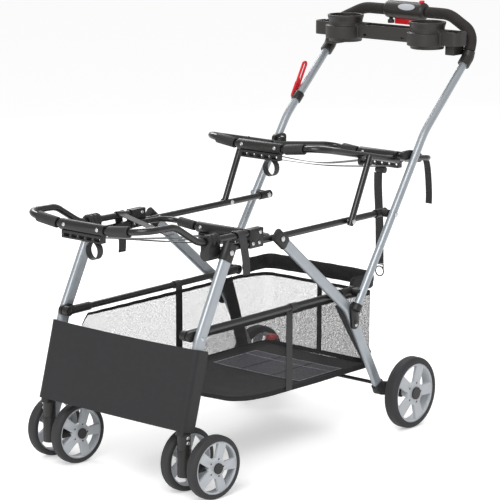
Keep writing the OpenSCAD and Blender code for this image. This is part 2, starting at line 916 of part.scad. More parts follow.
module foam_grips() {
  path = [bar_point(handle_x, 17), bar_half[2], bar_half[3], bar_point(console_x + 1, bar_rise)];
  color("#211f1e") both() tube(path, [0, 52, 90, 0], bar_up, foam_r, handle_r + over_bend);
}

module console() {
  soft = 12;
  z = bar_mid[1] + 1.5;
  y = bar_mid[0];
  color("#29292a") difference() {
    union() {
      translate([0, y, z]) rotate([0, 90, 0]) rotate_extrude() {
        translate([0, -console_x]) square([console_r - soft, 2 * console_x]);
        translate([0, -console_x + soft]) square([console_r, 2 * (console_x - soft)]);
        for (s = [left, right]) intersection() {
          translate([console_r - soft, s * (console_x - soft)]) circle(soft);
          translate([0, -console_x]) square([console_r, 2 * console_x]);
        }
      }
      translate([-50, y, z - console_r - 14]) cylinder(h = 9, r = 9);
      translate([-50, y, z - console_r - 6]) cylinder(h = 14, r = 5.5);
    }
    across(bar_mid, -console_x - 1, console_x + 1, handle_r + slip);
    block([-36, y - 5.4, z - console_r - 1], [36, y + 5.4, z - 11]);
    translate([50, y, z + 12.5]) cylinder(h = 40, r = 7.2);
  }
}

module release_trigger() {
  z = bar_mid[1] + 1.5 - console_r;
  color("#b3202b") block([-35, bar_mid[0] - 5, z - 15], [35, bar_mid[0] + 5, z + 4.5]);
}

module lock_button() {
  z = bar_mid[1] + 1.5;
  color("#b3202b") translate([50, bar_mid[0], z + 17]) cylinder(h = 11.5, r = 7);
}

// Outline of a bar across the frame with rounded corners, seen from above
module rounded_plan(x, y0, y1, r) {
  translate([-x + r, y0]) square([2 * (x - r), y1 - y0]);
  translate([-x, y0 + r]) square([2 * x, y1 - y0 - 2 * r]);
  for (s = [left, right], y = [y0 + r, y1 - r]) translate([s * (x - r), y]) circle(r);
}

module parent_tray() {
  y0 = handle_top[0] - 64;
  y1 = y0 + 56;
  z0 = handle_top[1] + 32;
  z1 = z0 + 36;
  t = 3;
  cup_y = y0 + 12;
  rim_z = z1 + 22;
  base_z = z0 - 12;
  well_x = 78;
  end_r = 20;
  lip = 3;
  arm_in = handle_x - 44;
  arm_x = handle_x - foam_r - 1.3;
  arm_y = y0 + 24;
  arm_z = handle_top[1] + 5;
  color("#303031") difference() {
    union() {
      translate([0, 0, z0]) linear_extrude(z1 - z0) rounded_plan(tray_x, y0, y1, end_r);
      for (s = [left, right]) {
        translate([s * cup_x, cup_y, base_z]) cylinder(h = rim_z - base_z, r = cup_r + t);
        translate([s * cup_x, cup_y, rim_z - 16]) cylinder(h = 12, r1 = cup_r + t, r2 = cup_r + t + lip);
        translate([s * cup_x, cup_y, rim_z - 4]) cylinder(h = 4, r = cup_r + t + lip);
        translate([s * cup_x, cup_y - 6.5, z0 - 3]) cylinder(h = z1 - z0 - 3, r = cup_r + t + 4);
        on(s) block([arm_in, arm_y, arm_z], [arm_x, y1 + 15, z0 - 0.5]);
        on(s) block([arm_in, arm_y, z0 - 1], [arm_x, y1 - 1, z0 + 1]);
      }
    }
    for (s = [left, right]) {
      translate([s * cup_x, cup_y, base_z + t]) cylinder(h = 100, r = cup_r);
      intersection() {
        translate([0, 0, z0 + t]) linear_extrude(z1 - z0) rounded_plan(tray_x - t, y0 + t, y1 - t, end_r - t);
        on(s) block([cup_x + cup_r + 9, y0, z0], [tray_x, y1, z1 + 1]);
      }
    }
    block([-well_x, y0 + t, z0 + t], [well_x, y1 - t, z1 + 1]);
  }
}

// Bracket on the foot of a handle tube: sleeve, lower rail boss and the leaf over the rear leg
module foot_bracket() {
  inner = rear_x + rear_t / 2 + 0.9;
  up = unit(handle_bend - handle_low);
  a = handle_low - 3 * up;
  difference() {
    union() {
      difference() {
        along(at(handle_x, a), at(handle_x, handle_bend), xdir) cylinder(h = 17, r = handle_r + 3);
        block([0, 0, 200], [inner, 300, 500]);
      }
      link(handle_low + [2, 4], [118, 300], 14, inner, inner + 6);
      across([119, 303], inner + 6, inner + 8, 5);
      link(p_low_rear, handle_low + 45 * up, 11, rail_out + 3.2, handle_x);
    }
    along(at(handle_x, handle_low - 0.5 * up), at(handle_x, handle_bend), xdir)
      cylinder(h = 90, r = handle_r + slip);
  }
}

// Arm on the handle tube that meets the rear tray's lug
module tray_arm() {
  tube = [handle_pivot_y + handle_slope * post_rise[1], p_tray_rear[1]];
  link(p_tray_rear, tube, 11, 206, handle_x - handle_r - 0.3);
}

module latch_clip() {
  up = handle_dir;
  foot = handle_bend + 62 * up;
  difference() {
    union() {
      along(at(-handle_x, foot - 12 * up), at(-handle_x, foot + 12 * up), xdir)
        cylinder(h = 24, r = handle_r + 3);
      link(foot, latch_pivot, 8, -handle_x - handle_r - 3, -handle_x - 4);
      across(latch_pivot, -handle_x - handle_r - 11, -handle_x - handle_r, 3);
    }
    along(at(-handle_x, foot - 40 * up), at(-handle_x, foot), xdir)
      cylinder(h = 90, r = handle_r + slip);
  }
}

module latch_brackets() {
  color("#232324") {
    both() {
      foot_bracket();
      tray_arm();
    }
    latch_clip();
  }
}

module storage_latch() {
  x0 = -handle_x - handle_r - 9.5;
  x1 = x0 + 6;
  up = unit([50, 88]);
  color("#b3202b") difference() {
    union() {
      link(latch_pivot, latch_pivot + 92 * up, 8, x0, x1);
      link(latch_pivot, latch_pivot + 34 * up, 9.5, x0, x1);
    }
    link(latch_pivot + 52 * up, latch_pivot + 90 * up, 4.5, x0 - 1, x1 + 1);
    across(latch_pivot, x0 - 1, x1 + 1, 3 + run);
  }
}

upper_rail(left);  // upper_rail_left
upper_rail(right);  // upper_rail_right
rail_brackets();
front_tray_front_loop();
front_tray_rear_loop();
front_tray_plates();
front_tray_grips();
front_tray_clips();
front_tray_straps();
fold_pins();
front_leg(left);  // front_leg_left
front_leg(right);  // front_leg_right
front_leg_fittings();
front_cross_tube();
front_panel();
caster_fork(left);  // caster_fork_left
caster_fork(right);  // caster_fork_right
caster_axle(left);  // caster_axle_left
caster_axle(right);  // caster_axle_right
front_tyre(left, 1);  // front_tyre_left_inner
front_tyre(left, -1);  // front_tyre_left_outer
front_tyre(right, -1);  // front_tyre_right_inner
front_tyre(right, 1);  // front_tyre_right_outer
front_rim(left, 1);  // front_rim_left_inner
front_rim(left, -1);  // front_rim_left_outer
front_rim(right, -1);  // front_rim_right_inner
front_rim(right, 1);  // front_rim_right_outer
lower_rail(left);  // lower_rail_left
lower_rail(right);  // lower_rail_right
lower_rail_fittings();
basket_sides();
basket_floor();
basket_trim();
rear_leg(left);  // rear_leg_left
rear_leg(right);  // rear_leg_right
rear_leg_fittings();
rear_axles();
brake_pedal();
rear_tyre(left);  // rear_tyre_left
rear_tyre(right);  // rear_tyre_right
rear_rim(left);  // rear_rim_left
rear_rim(right);  // rear_rim_right
tray_posts();
rear_tray_front_loop();
rear_tray_rear_loop();
rear_tray_plates();
rear_tray_grips();
rear_tray_straps();
handle_tube(left);  // handle_tube_left
handle_tube(right);  // handle_tube_right
handlebar_tube();
handle_elbows();
foam_grips();
console();
parent_tray();
latch_brackets();
release_trigger();
lock_button();
storage_latch();
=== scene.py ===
# %% [markdown]
# # A folding stroller frame for two infant car seats
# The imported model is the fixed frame: tubes, wheels, hinges and fittings are already in place and to size.
# This lesson dresses it. Hard parts get real finishes and softened edges. Soft parts, which the frame holds
# only as plain slabs, are made again as cloth, webbing and foam.

# %% Load the frame
import json
import math

import bpy
import numpy as np
from mathutils import Matrix, Vector, noise

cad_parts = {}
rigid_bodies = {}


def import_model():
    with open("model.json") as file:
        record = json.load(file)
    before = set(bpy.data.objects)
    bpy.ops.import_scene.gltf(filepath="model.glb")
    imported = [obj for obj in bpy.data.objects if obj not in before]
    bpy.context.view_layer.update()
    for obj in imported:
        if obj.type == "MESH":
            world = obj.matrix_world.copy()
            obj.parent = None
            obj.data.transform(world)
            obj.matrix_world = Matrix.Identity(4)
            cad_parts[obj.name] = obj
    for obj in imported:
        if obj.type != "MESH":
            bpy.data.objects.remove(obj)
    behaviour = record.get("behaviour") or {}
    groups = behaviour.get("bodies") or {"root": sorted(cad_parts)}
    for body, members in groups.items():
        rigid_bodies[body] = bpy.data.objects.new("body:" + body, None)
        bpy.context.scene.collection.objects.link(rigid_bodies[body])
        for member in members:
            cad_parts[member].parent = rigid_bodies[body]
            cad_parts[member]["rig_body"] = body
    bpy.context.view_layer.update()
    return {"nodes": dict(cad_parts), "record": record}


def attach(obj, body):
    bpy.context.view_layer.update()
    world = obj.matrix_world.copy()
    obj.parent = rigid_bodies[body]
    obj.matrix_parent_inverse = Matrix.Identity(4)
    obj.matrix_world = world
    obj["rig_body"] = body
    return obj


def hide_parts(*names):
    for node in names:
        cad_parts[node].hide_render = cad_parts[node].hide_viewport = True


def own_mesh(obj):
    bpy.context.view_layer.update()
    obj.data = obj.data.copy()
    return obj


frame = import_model()
nodes = frame["nodes"]
MM = 0.001

# %% [markdown]
# ## Camera
# The picture was taken from the front right, a little above the trays, with a long lens.
# The place and the lens come from fitting the wheel hubs and tube ends, so the camera is simply put there.

# %% Camera
LOOK_AT = Vector((0, -0.028, 0.4802))
CAMERA_AT = Vector((3.6377, -4.3099, 1.6570))
CAMERA_ROLL = math.radians(0.14)
PICTURE_PIXELS = 500
FOCAL_PIXELS = 2307

lens = bpy.data.cameras.new("camera")
lens.sensor_width = 36
lens.lens = FOCAL_PIXELS / PICTURE_PIXELS * lens.sensor_width
camera = bpy.data.objects.new("camera", lens)
bpy.context.scene.collection.objects.link(camera)
camera.location = CAMERA_AT
toward = (LOOK_AT - CAMERA_AT).to_track_quat("-Z", "Y")
camera.rotation_euler = (toward.to_matrix() @ Matrix.Rotation(CAMERA_ROLL, 3, "Z")).to_euler()
bpy.context.scene.camera = camera
bpy.context.scene.view_settings.view_transform = "Standard"
print("lens", round(lens.lens, 1), "mm")

# %% [markdown]
# ## Small helpers for finishes
# Colours are given as sRGB hex codes, but shaders work in linear light, so one function converts them.
# Another adds a shader node with its settings and links in one line, and the last starts a new finish.
# A pattern's scale is written as 1000 / size, because Blender counts repeats per metre and sizes are in mm.

# %% Helpers for finishes
def linear(code):
    """Linear RGBA of an sRGB hex code."""
    shares = [int(code[i : i + 2], 16) / 255 for i in (1, 3, 5)]
    return [c / 12.92 if c <= 0.04045 else ((c + 0.055) / 1.055) ** 2.4 for c in shares] + [1.0]


def add(tree, kind, settings=None, links=None):
    """Adds a node: settings go to its inputs or its own properties, links join outputs to its inputs."""
    node = tree.nodes.new(kind)
    for key, value in (settings or {}).items():
        if isinstance(key, int) or key in node.inputs:
            node.inputs[key].default_value = value
        else:
            setattr(node, key, value)
    for key, source in (links or {}).items():
        tree.links.new(source, node.inputs[key])
    return node


def new_finish(name, colour, rough, metal=0.0):
    """A material, its tree, its shader and the coordinates of the piece it is on."""
    made = bpy.data.materials.new(name)
    made.use_nodes = True
    tree = made.node_tree
    shader = tree.nodes["Principled BSDF"]
    shader.inputs["Base Color"].default_value = linear(colour)
    shader.inputs["Roughness"].default_value = rough
    shader.inputs["Metallic"].default_value = metal
    return made, tree, shader, add(tree, "ShaderNodeTexCoord")


print("helpers ready")

# %% [markdown]
# ## Floor and light
# A white studio sweep. The floor and the world show white to the camera and to reflections, and light the
# object at a plain level, so that a colour renders about as it is written. More light would also give a white
# floor, but it would bleach the object, so the floor glows a little for those rays only.

# %% Floor
FLOOR_SIZE = 40  # metres
FLOOR_GLOW = 0.42
bpy.ops.object.select_all(action="DESELECT")
bpy.ops.mesh.primitive_plane_add(size=FLOOR_SIZE, location=(0, 0, 0))
floor = bpy.context.active_object
floor.name = "studio_floor"
white_floor = bpy.data.materials.new("white_floor")
white_floor.use_nodes = True
tree = white_floor.node_tree
tree.nodes.remove(tree.nodes["Principled BSDF"])
ray = add(tree, "ShaderNodeLightPath")
seen = add(tree, "ShaderNodeMath", {"operation": "MAXIMUM"},
           {0: ray.outputs["Is Camera Ray"], 1: ray.outputs["Is Glossy Ray"]})
seen = add(tree, "ShaderNodeMath", {"operation": "MAXIMUM"},
           {0: seen.outputs[0], 1: ray.outputs["Is Transmission Ray"]})
lift = add(tree, "ShaderNodeMath", {"operation": "MULTIPLY", 1: FLOOR_GLOW}, {0: seen.outputs[0]})
matt = add(tree, "ShaderNodeBsdfDiffuse", {"Color": linear("#f2f2f2")})
glow = add(tree, "ShaderNodeEmission", {"Color": (1, 1, 1, 1)}, {"Strength": lift.outputs[0]})
both = add(tree, "ShaderNodeAddShader", None, {0: matt.outputs[0], 1: glow.outputs[0]})
tree.links.new(both.outputs[0], tree.nodes["Material Output"].inputs["Surface"])
floor.data.materials.append(white_floor)
print(floor.name, FLOOR_SIZE, "m")

# %% World
WORLD_LIGHT = 0.6  # strength on the object; the camera sees 1, which is white
world = bpy.data.worlds.new("studio")
bpy.context.scene.world = world
world.use_nodes = True
tree = world.node_tree
ray = add(tree, "ShaderNodeLightPath")
seen = add(tree, "ShaderNodeMath", {"operation": "MAXIMUM"},
           {0: ray.outputs["Is Camera Ray"], 1: ray.outputs["Is Transmission Ray"]})
level = add(tree, "ShaderNodeMapRange", {"To Min": WORLD_LIGHT, "To Max": 1.0}, {"Value": seen.outputs[0]})
tree.nodes["Background"].inputs["Color"].default_value = (1, 1, 1, 1)
tree.links.new(level.outputs[0], tree.nodes["Background"].inputs["Strength"])
print("world", WORLD_LIGHT)

# %% Lamps
# Two wide lamps give form: a key from the front right and a rim from behind.
LAMPS = {  # place in metres, size in metres, watts
    "key_lamp": ((1.6, -3.2, 3.4), 2.4, 120),
    "rim_lamp": ((-2.6, 1.8, 3.0), 2.0, 70),
}
for name, (place, size, watts) in LAMPS.items():
    lamp = bpy.data.objects.new(name, bpy.data.lights.new(name, "AREA"))
    lamp.data.size = size
    lamp.data.energy = watts
    lamp.location = place
    lamp.rotation_euler = (LOOK_AT - Vector(place)).to_track_quat("-Z", "Y").to_euler()
    bpy.context.scene.collection.objects.link(lamp)
print("lamps", list(LAMPS))

# %% [markdown]
# ## Finishes of the hard parts
# Each finish starts from the real material: powder-coated steel tube, silver enamel, zinc-plated rivets,
# spark-grained nylon and ABS, EVA tyres. One flat colour would do for each, but it looks like a toy, so noise
# of a real size in millimetres varies the gloss and the tone, and a bump stands in for the finest grain.

# %% Black powder coat on the rails and tray tubes
# Powder coat flows into a faint orange peel, which breaks up its highlights.
PEEL_MM = 1.8
WEAR_MM = 40
black_coat, tree, shader, place = new_finish("black_powder_coat", "#131314", 0.3)
shader.inputs["Coat Weight"].default_value = 0.25
shader.inputs["Coat Roughness"].default_value = 0.18
peel = add(tree, "ShaderNodeTexNoise", {"Scale": 1000 / PEEL_MM, "Detail": 2.0},
           {"Vector": place.outputs["Object"]})
worn = add(tree, "ShaderNodeTexNoise", {"Scale": 1000 / WEAR_MM, "Detail": 4.0},
           {"Vector": place.outputs["Object"]})
rough = add(tree, "ShaderNodeMapRange", {"To Min": 0.24, "To Max": 0.38}, {"Value": worn.outputs["Fac"]})
tree.links.new(rough.outputs[0], shader.inputs["Roughness"])
bump = add(tree, "ShaderNodeBump", {"Strength": 0.12, "Distance": 0.2 * MM}, {"Height": peel.outputs["Fac"]})
tree.links.new(bump.outputs[0], shader.inputs["Normal"])
print(black_coat.name)

# %% Silver enamel on the legs and handle
# A metallic paint: fine flake sparkle over a soft, even grey.
FLAKE_MM = 0.9
CLOUD_MM = 30
silver_enamel, tree, shader, place = new_finish("silver_enamel", "#aeb4b9", 0.36, 0.55)
flake = add(tree, "ShaderNodeTexVoronoi", {"Scale": 1000 / FLAKE_MM}, {"Vector": place.outputs["Object"]})
cloud = add(tree, "ShaderNodeTexNoise", {"Scale": 1000 / CLOUD_MM, "Detail": 3.0},
            {"Vector": place.outputs["Object"]})
tone = add(tree, "ShaderNodeMix", {"data_type": "RGBA", 6: linear("#9fa5ab"), 7: linear("#b0b6bb")},
           {0: cloud.outputs["Fac"]})
tree.links.new(tone.outputs[2], shader.inputs["Base Color"])
rough = add(tree, "ShaderNodeMapRange", {"To Min": 0.3, "To Max": 0.44}, {"Value": flake.outputs["Color"]})
tree.links.new(rough.outputs[0], shader.inputs["Roughness"])
bump = add(tree, "ShaderNodeBump", {"Strength": 0.05, "Distance": 0.1 * MM}, {"Height": cloud.outputs["Fac"]})
tree.links.new(bump.outputs[0], shader.inputs["Normal"])
print(silver_enamel.name)

# %% Zinc plate on the pins and rivets
# Bright plating, dulled in small scuffs by handling.
SCUFF_MM = 2.5
zinc_plate, tree, shader, place = new_finish("zinc_plate", "#c7c9ca", 0.28, 1.0)
scuff = add(tree, "ShaderNodeTexNoise", {"Scale": 1000 / SCUFF_MM, "Detail": 5.0},
            {"Vector": place.outputs["Object"]})
rough = add(tree, "ShaderNodeMapRange", {"To Min": 0.2, "To Max": 0.4}, {"Value": scuff.outputs["Fac"]})
tree.links.new(rough.outputs[0], shader.inputs["Roughness"])
print(zinc_plate.name)

# %% Moulded plastics
# Nylon, ABS, EVA and rubber differ in colour, gloss and grain, so one recipe makes them all:
# a spark-eroded grain from the mould, and broad patches where handling has polished it.
PATCH_MM = 25
GLOSS_SPREAD = 0.07


def moulded(name, colour, patch, gloss, grain_mm, depth):
    """A moulded plastic of two close colours."""
    made, tree, shader, place = new_finish(name, colour, gloss)
    grain = add(tree, "ShaderNodeTexNoise", {"Scale": 1000 / grain_mm, "Detail": 3.0},
                {"Vector": place.outputs["Object"]})
    broad = add(tree, "ShaderNodeTexNoise", {"Scale": 1000 / PATCH_MM, "Detail": 4.0},
                {"Vector": place.outputs["Object"]})
    tone = add(tree, "ShaderNodeMix", {"data_type": "RGBA", 6: linear(colour), 7: linear(patch)},
               {0: broad.outputs["Fac"]})
    tree.links.new(tone.outputs[2], shader.inputs["Base Color"])
    rough = add(tree, "ShaderNodeMapRange", {"To Min": gloss - GLOSS_SPREAD, "To Max": gloss + GLOSS_SPREAD},
                {"Value": broad.outputs["Fac"]})
    tree.links.new(rough.outputs[0], shader.inputs["Roughness"])
    bump = add(tree, "ShaderNodeBump", {"Strength": depth, "Distance": 0.3 * MM},
               {"Height": grain.outputs["Fac"]})
    tree.links.new(bump.outputs[0], shader.inputs["Normal"])
    return made


black_nylon = moulded("black_nylon", "#151413", "#1f1e1d", 0.46, 1.2, 0.2)
charcoal_abs = moulded("charcoal_abs", "#262421", "#302d2a", 0.48, 1.0, 0.25)
rubber_sleeve = moulded("rubber_sleeve", "#232324", "#2b2b2c", 0.62, 1.4, 0.25)
red_abs = moulded("red_abs", "#d3121c", "#dd2029", 0.32, 1.5, 0.05)
tyre_eva = moulded("tyre_eva", "#2b2b2d", "#353537", 0.72, 1.6, 0.35)
silver_abs = moulded("silver_abs", "#b6babf", "#c2c6ca", 0.34, 1.2, 0.06)
print([m.name for m in (black_nylon, charcoal_abs, rubber_sleeve, red_abs, tyre_eva, silver_abs)])

# %% Put the finishes on the frame
# A node takes the finish whose list holds the start of its name, and the rest are black nylon fittings.
FINISHES = {
    black_coat: ["upper_rail_", "lower_rail_left", "lower_rail_right", "front_tray_front_loop",
                 "front_tray_rear_loop", "rear_tray_front_loop", "rear_tray_rear_loop", "tray_posts",
                 "handlebar_tube", "front_cross_tube"],
    silver_enamel: ["front_leg_left", "front_leg_right", "rear_leg_left", "rear_leg_right", "handle_tube_"],
    zinc_plate: ["fold_pins"],
    rubber_sleeve: ["front_tray_grips", "rear_tray_grips"],
    charcoal_abs: ["console", "parent_tray", "handle_elbows"],
    red_abs: ["release_trigger", "lock_button", "storage_latch", "brake_pedal"],
    tyre_eva: ["front_tyre", "rear_tyre"],
    silver_abs: ["front_rim", "rear_rim"],
}
for name, node in nodes.items():
    chosen = next((m for m, starts in FINISHES.items() if any(name.startswith(s) for s in starts)), black_nylon)
    node.data.materials.clear()
    node.data.materials.append(chosen)
print("finished", len(nodes), "nodes")

# %% [markdown]
# ## Woven finishes
# Cloth is seen through its weave, so these finishes follow each piece's own UV map, which is in metres:
# a thread that is 0.8 mm wide on the roll stays 0.8 mm wide on every fold. Object coordinates would be
# simpler, but they would cut straight through the folds.

# %% Nylon oxford cloth of the panel, floor and band
# Oxford cloth is a basket weave with a dull coated sheen. Threads are about 0.7 mm; they are drawn at
# 1.6 mm, because finer ones would not show at this distance.
OXFORD_MM = 1.6
SLUB_MM = 14


def oxford(name, colour, light, sheen):
    """A basket weave of two close colours."""
    made, tree, shader, place = new_finish(name, colour, 0.7)
    shader.inputs["Sheen Weight"].default_value = sheen
    shader.inputs["Sheen Roughness"].default_value = 0.4
    size = add(tree, "ShaderNodeVectorMath", {"operation": "SCALE", "Scale": 1000 / OXFORD_MM},
               {0: place.outputs["UV"]})
    weave = add(tree, "ShaderNodeTexChecker", {"Scale": 1.0}, {"Vector": size.outputs[0]})
    slub = add(tree, "ShaderNodeTexNoise", {"Scale": 1000 / SLUB_MM, "Detail": 6.0},
               {"Vector": place.outputs["UV"]})
    tone = add(tree, "ShaderNodeMix", {"data_type": "RGBA", 6: linear(colour), 7: linear(light)},
               {0: slub.outputs["Fac"]})
    thread = add(tree, "ShaderNodeMix", {"data_type": "RGBA", "blend_type": "MULTIPLY", 0: 0.22},
                 {6: tone.outputs[2], 7: weave.outputs["Color"]})
    tree.links.new(thread.outputs[2], shader.inputs["Base Color"])
    height = add(tree, "ShaderNodeMath", {"operation": "MULTIPLY_ADD", 1: 0.4},
                 {0: weave.outputs["Fac"], 2: slub.outputs["Fac"]})
    bump = add(tree, "ShaderNodeBump", {"Strength": 0.25, "Distance": 0.5 * MM}, {"Height": height.outputs[0]})
    tree.links.new(bump.outputs[0], shader.inputs["Normal"])
    return made


black_oxford = oxford("black_oxford_nylon", "#18181b", "#232326", 0.25)
band_oxford = oxford("black_band_cloth", "#0c0c0e", "#171719", 0.03)
print(black_oxford.name, band_oxford.name)

# %% [markdown]
# ### Grey cover of the floor board
# The board folds in three, so two dark seams cross its cover, and a paler piping runs round it and along one
# seam. They could be strips of mesh, but they are flat and thin, so they are lines at places of the UV map.

# %% Lines on the board
BOARD = (-143.0, 143.0, -6.0, 166.0)  # low and high x, low and high y, mm
BOARD_WIDE, BOARD_LONG = BOARD[1] - BOARD[0], BOARD[3] - BOARD[2]
SEAM_OUT = 50.0  # seams, from the middle
EDGE_IN = 2.0  # piping, from the edge
CROSS_IN = 44.0  # the piping that crosses, from the back edge
HALF_SEAM, HALF_PIPING = 3.0, 1.7
floor_board, tree, shader, place = new_finish("grey_board_cover", "#4a4a52", 0.7)
spot = add(tree, "ShaderNodeSeparateXYZ", None, {0: place.outputs["UV"]})


def stripe(along, centres_mm, half_mm):
    """1 within half_mm of any of the centres, measured along one side of the board."""
    found = None
    for centre in centres_mm:
        line = add(tree, "ShaderNodeMath", {"operation": "COMPARE", 1: centre * MM, 2: half_mm * MM}, {0: along})
        if found:
            line = add(tree, "ShaderNodeMath", {"operation": "MAXIMUM"}, {0: found, 1: line.outputs[0]})
        found = line.outputs[0]
    return found


seams = stripe(spot.outputs[0], (BOARD_WIDE / 2 - SEAM_OUT, BOARD_WIDE / 2 + SEAM_OUT), HALF_SEAM)
long_way = stripe(spot.outputs[1], (EDGE_IN, BOARD_LONG - CROSS_IN, BOARD_LONG - EDGE_IN), HALF_PIPING)
wide_way = stripe(spot.outputs[0], (EDGE_IN, BOARD_WIDE - EDGE_IN), HALF_PIPING)
piping = add(tree, "ShaderNodeMath", {"operation": "MAXIMUM"}, {0: long_way, 1: wide_way})
print("board", BOARD_WIDE, "x", BOARD_LONG, "mm")

# %% Colours of the board
FLECK_MM = 5
fleck = add(tree, "ShaderNodeTexNoise", {"Scale": 1000 / FLECK_MM, "Detail": 5.0},
            {"Vector": place.outputs["UV"]})
field = add(tree, "ShaderNodeMix", {"data_type": "RGBA", 6: linear("#1c1c20"), 7: linear("#7c7c86")},
            {0: fleck.outputs["Fac"]})
sewn = add(tree, "ShaderNodeMix", {"data_type": "RGBA", 7: linear("#151517")}, {0: seams, 6: field.outputs[2]})
edged = add(tree, "ShaderNodeMix", {"data_type": "RGBA", 7: linear("#b4b4be")},
            {0: piping.outputs[0], 6: sewn.outputs[2]})
tree.links.new(edged.outputs[2], shader.inputs["Base Color"])
bump = add(tree, "ShaderNodeBump", {"Strength": 0.3, "Distance": 0.6 * MM}, {"Height": fleck.outputs["Fac"]})
tree.links.new(bump.outputs[0], shader.inputs["Normal"])
print(floor_board.name)

# %% [markdown]
# ### Knitted mesh of the basket
# A warp-knitted net: thin dark yarn round open cells of a few millimetres, so most of the light passes. Yarn
# as mesh would take millions of faces, so the holes are alpha, and the yarn follows the borders of slightly
# uneven cells. Black tape binds the low edge, and the top has a thin hem.

# %% Holes of the net
NET_MM = 2.8
HALF_YARN_MM = 0.34
TAPE_MM = 12.0
TOP_HEM_MM = 9.0  # where the hem starts is set when the net is made
basket_net, tree, shader, place = new_finish("knitted_polyester_net", "#3d3a3d", 0.8)
cells = add(tree, "ShaderNodeTexVoronoi", {"feature": "DISTANCE_TO_EDGE", "voronoi_dimensions": "2D",
                                           "Scale": 1000 / NET_MM, "Randomness": 0.75},
            {"Vector": place.outputs["UV"]})
yarn = add(tree, "ShaderNodeMath", {"operation": "LESS_THAN", 1: HALF_YARN_MM / NET_MM},
           {0: cells.outputs["Distance"]})
height = add(tree, "ShaderNodeSeparateXYZ", None, {0: place.outputs["UV"]})
tape = add(tree, "ShaderNodeMath", {"operation": "LESS_THAN", 1: TAPE_MM * MM}, {0: height.outputs[0]})
top_hem = add(tree, "ShaderNodeMath", {"operation": "GREATER_THAN"}, {0: height.outputs[0]})
edges = add(tree, "ShaderNodeMath", {"operation": "MAXIMUM"}, {0: top_hem.outputs[0], 1: tape.outputs[0]})
cover = add(tree, "ShaderNodeMath", {"operation": "MAXIMUM"}, {0: yarn.outputs[0], 1: edges.outputs[0]})
tree.links.new(cover.outputs[0], shader.inputs["Alpha"])
print("net of", NET_MM, "mm cells")

# %% Colours of the net
UNEVEN_MM = 20
uneven = add(tree, "ShaderNodeTexNoise", {"Scale": 1000 / UNEVEN_MM, "Detail": 3.0},
             {"Vector": place.outputs["UV"]})
tone = add(tree, "ShaderNodeMix", {"data_type": "RGBA", 6: linear("#1d1b1c"), 7: linear("#2c2929")},
           {0: uneven.outputs["Fac"]})
bound = add(tree, "ShaderNodeMix", {"data_type": "RGBA", 7: linear("#141415")},
            {0: edges.outputs[0], 6: tone.outputs[2]})
tree.links.new(bound.outputs[2], shader.inputs["Base Color"])
print(basket_net.name)

# %% Polypropylene webbing of the straps
# Webbing is woven in ribs across its width, about 1.5 mm each, drawn at 2.4 mm so that they show.
RIB_MM = 2.4
WEB_SLUB_MM = 8
WAVES = math.pi / 10  # turns repeats per metre into the scale of Blender's wave texture
black_webbing, tree, shader, place = new_finish("black_webbing", "#161617", 0.6)
shader.inputs["Sheen Weight"].default_value = 0.2
ribs = add(tree, "ShaderNodeTexWave",
           {"bands_direction": "Y", "Scale": 1000 / RIB_MM * WAVES, "Distortion": 0.4},
           {"Vector": place.outputs["UV"]})
slub = add(tree, "ShaderNodeTexNoise", {"Scale": 1000 / WEB_SLUB_MM, "Detail": 4.0},
           {"Vector": place.outputs["UV"]})
tone = add(tree, "ShaderNodeMix", {"data_type": "RGBA", 6: linear("#121213"), 7: linear("#252527")},
           {0: slub.outputs["Fac"]})
tree.links.new(tone.outputs[2], shader.inputs["Base Color"])
bump = add(tree, "ShaderNodeBump", {"Strength": 0.4, "Distance": 0.5 * MM}, {"Height": ribs.outputs["Fac"]})
tree.links.new(bump.outputs[0], shader.inputs["Normal"])
print(black_webbing.name)

# %% Closed-cell foam of the handle
# Foam sleeve: a matt brown-black skin with cells of about half a millimetre, drawn at 1.5 mm so they show.
CELL_MM = 1.5
RUB_MM = 18
dark_foam, tree, shader, place = new_finish("dark_foam", "#252120", 0.85)
cells = add(tree, "ShaderNodeTexVoronoi", {"Scale": 1000 / CELL_MM}, {"Vector": place.outputs["Object"]})
rubbed = add(tree, "ShaderNodeTexNoise", {"Scale": 1000 / RUB_MM, "Detail": 5.0},
             {"Vector": place.outputs["Object"]})
tone = add(tree, "ShaderNodeMix", {"data_type": "RGBA", 6: linear("#1f1c1b"), 7: linear("#322d2b")},
           {0: rubbed.outputs["Fac"]})
tree.links.new(tone.outputs[2], shader.inputs["Base Color"])
bump = add(tree, "ShaderNodeBump", {"Strength": 0.35, "Distance": 0.5 * MM},
           {"Height": cells.outputs["Distance"]})
tree.links.new(bump.outputs[0], shader.inputs["Normal"])
print(dark_foam.name)

# %% [markdown]
# ## Sheets from rows of points
# A cloth panel can be drawn as rows of points, as a sailmaker lofts a sail. A cloth simulation could hang it
# too, but it would not repeat the photographed shape. The skin over the rows becomes a mesh with a UV map in
# metres, and Solidify gives it the thickness of the cloth.

# %% Helpers for every piece
def select_only(piece):
    """Selects one piece, because operators act on all that is selected."""
    bpy.ops.object.select_all(action="DESELECT")
    piece.select_set(True)
    bpy.context.view_layer.objects.active = piece


def apply_modifier(piece, kind, **settings):
    """Adds a modifier, sets it and applies it."""
    select_only(piece)
    bpy.ops.object.modifier_add(type=kind)
    for key, value in settings.items():
        setattr(piece.modifiers[-1], key, value)
    bpy.ops.object.modifier_apply(modifier=piece.modifiers[-1].name)


def face_outward(piece):
    """Turns every face of a closed mesh outwards."""
    select_only(piece)
    bpy.ops.object.mode_set(mode="EDIT")
    bpy.ops.mesh.select_all(action="SELECT")
    bpy.ops.mesh.normals_make_consistent(inside=False)
    bpy.ops.object.mode_set(mode="OBJECT")


def dress(piece, name, finish, body, slot, *replaced):
    """Names a piece, gives it its finish, and says what it rides on and which node it stands in for."""
    piece.name = name
    piece.data.materials.clear()
    piece.data.materials.append(finish)
    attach(piece, body)
    if replaced:
        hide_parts(*replaced)
    return piece


print("piece helpers ready")

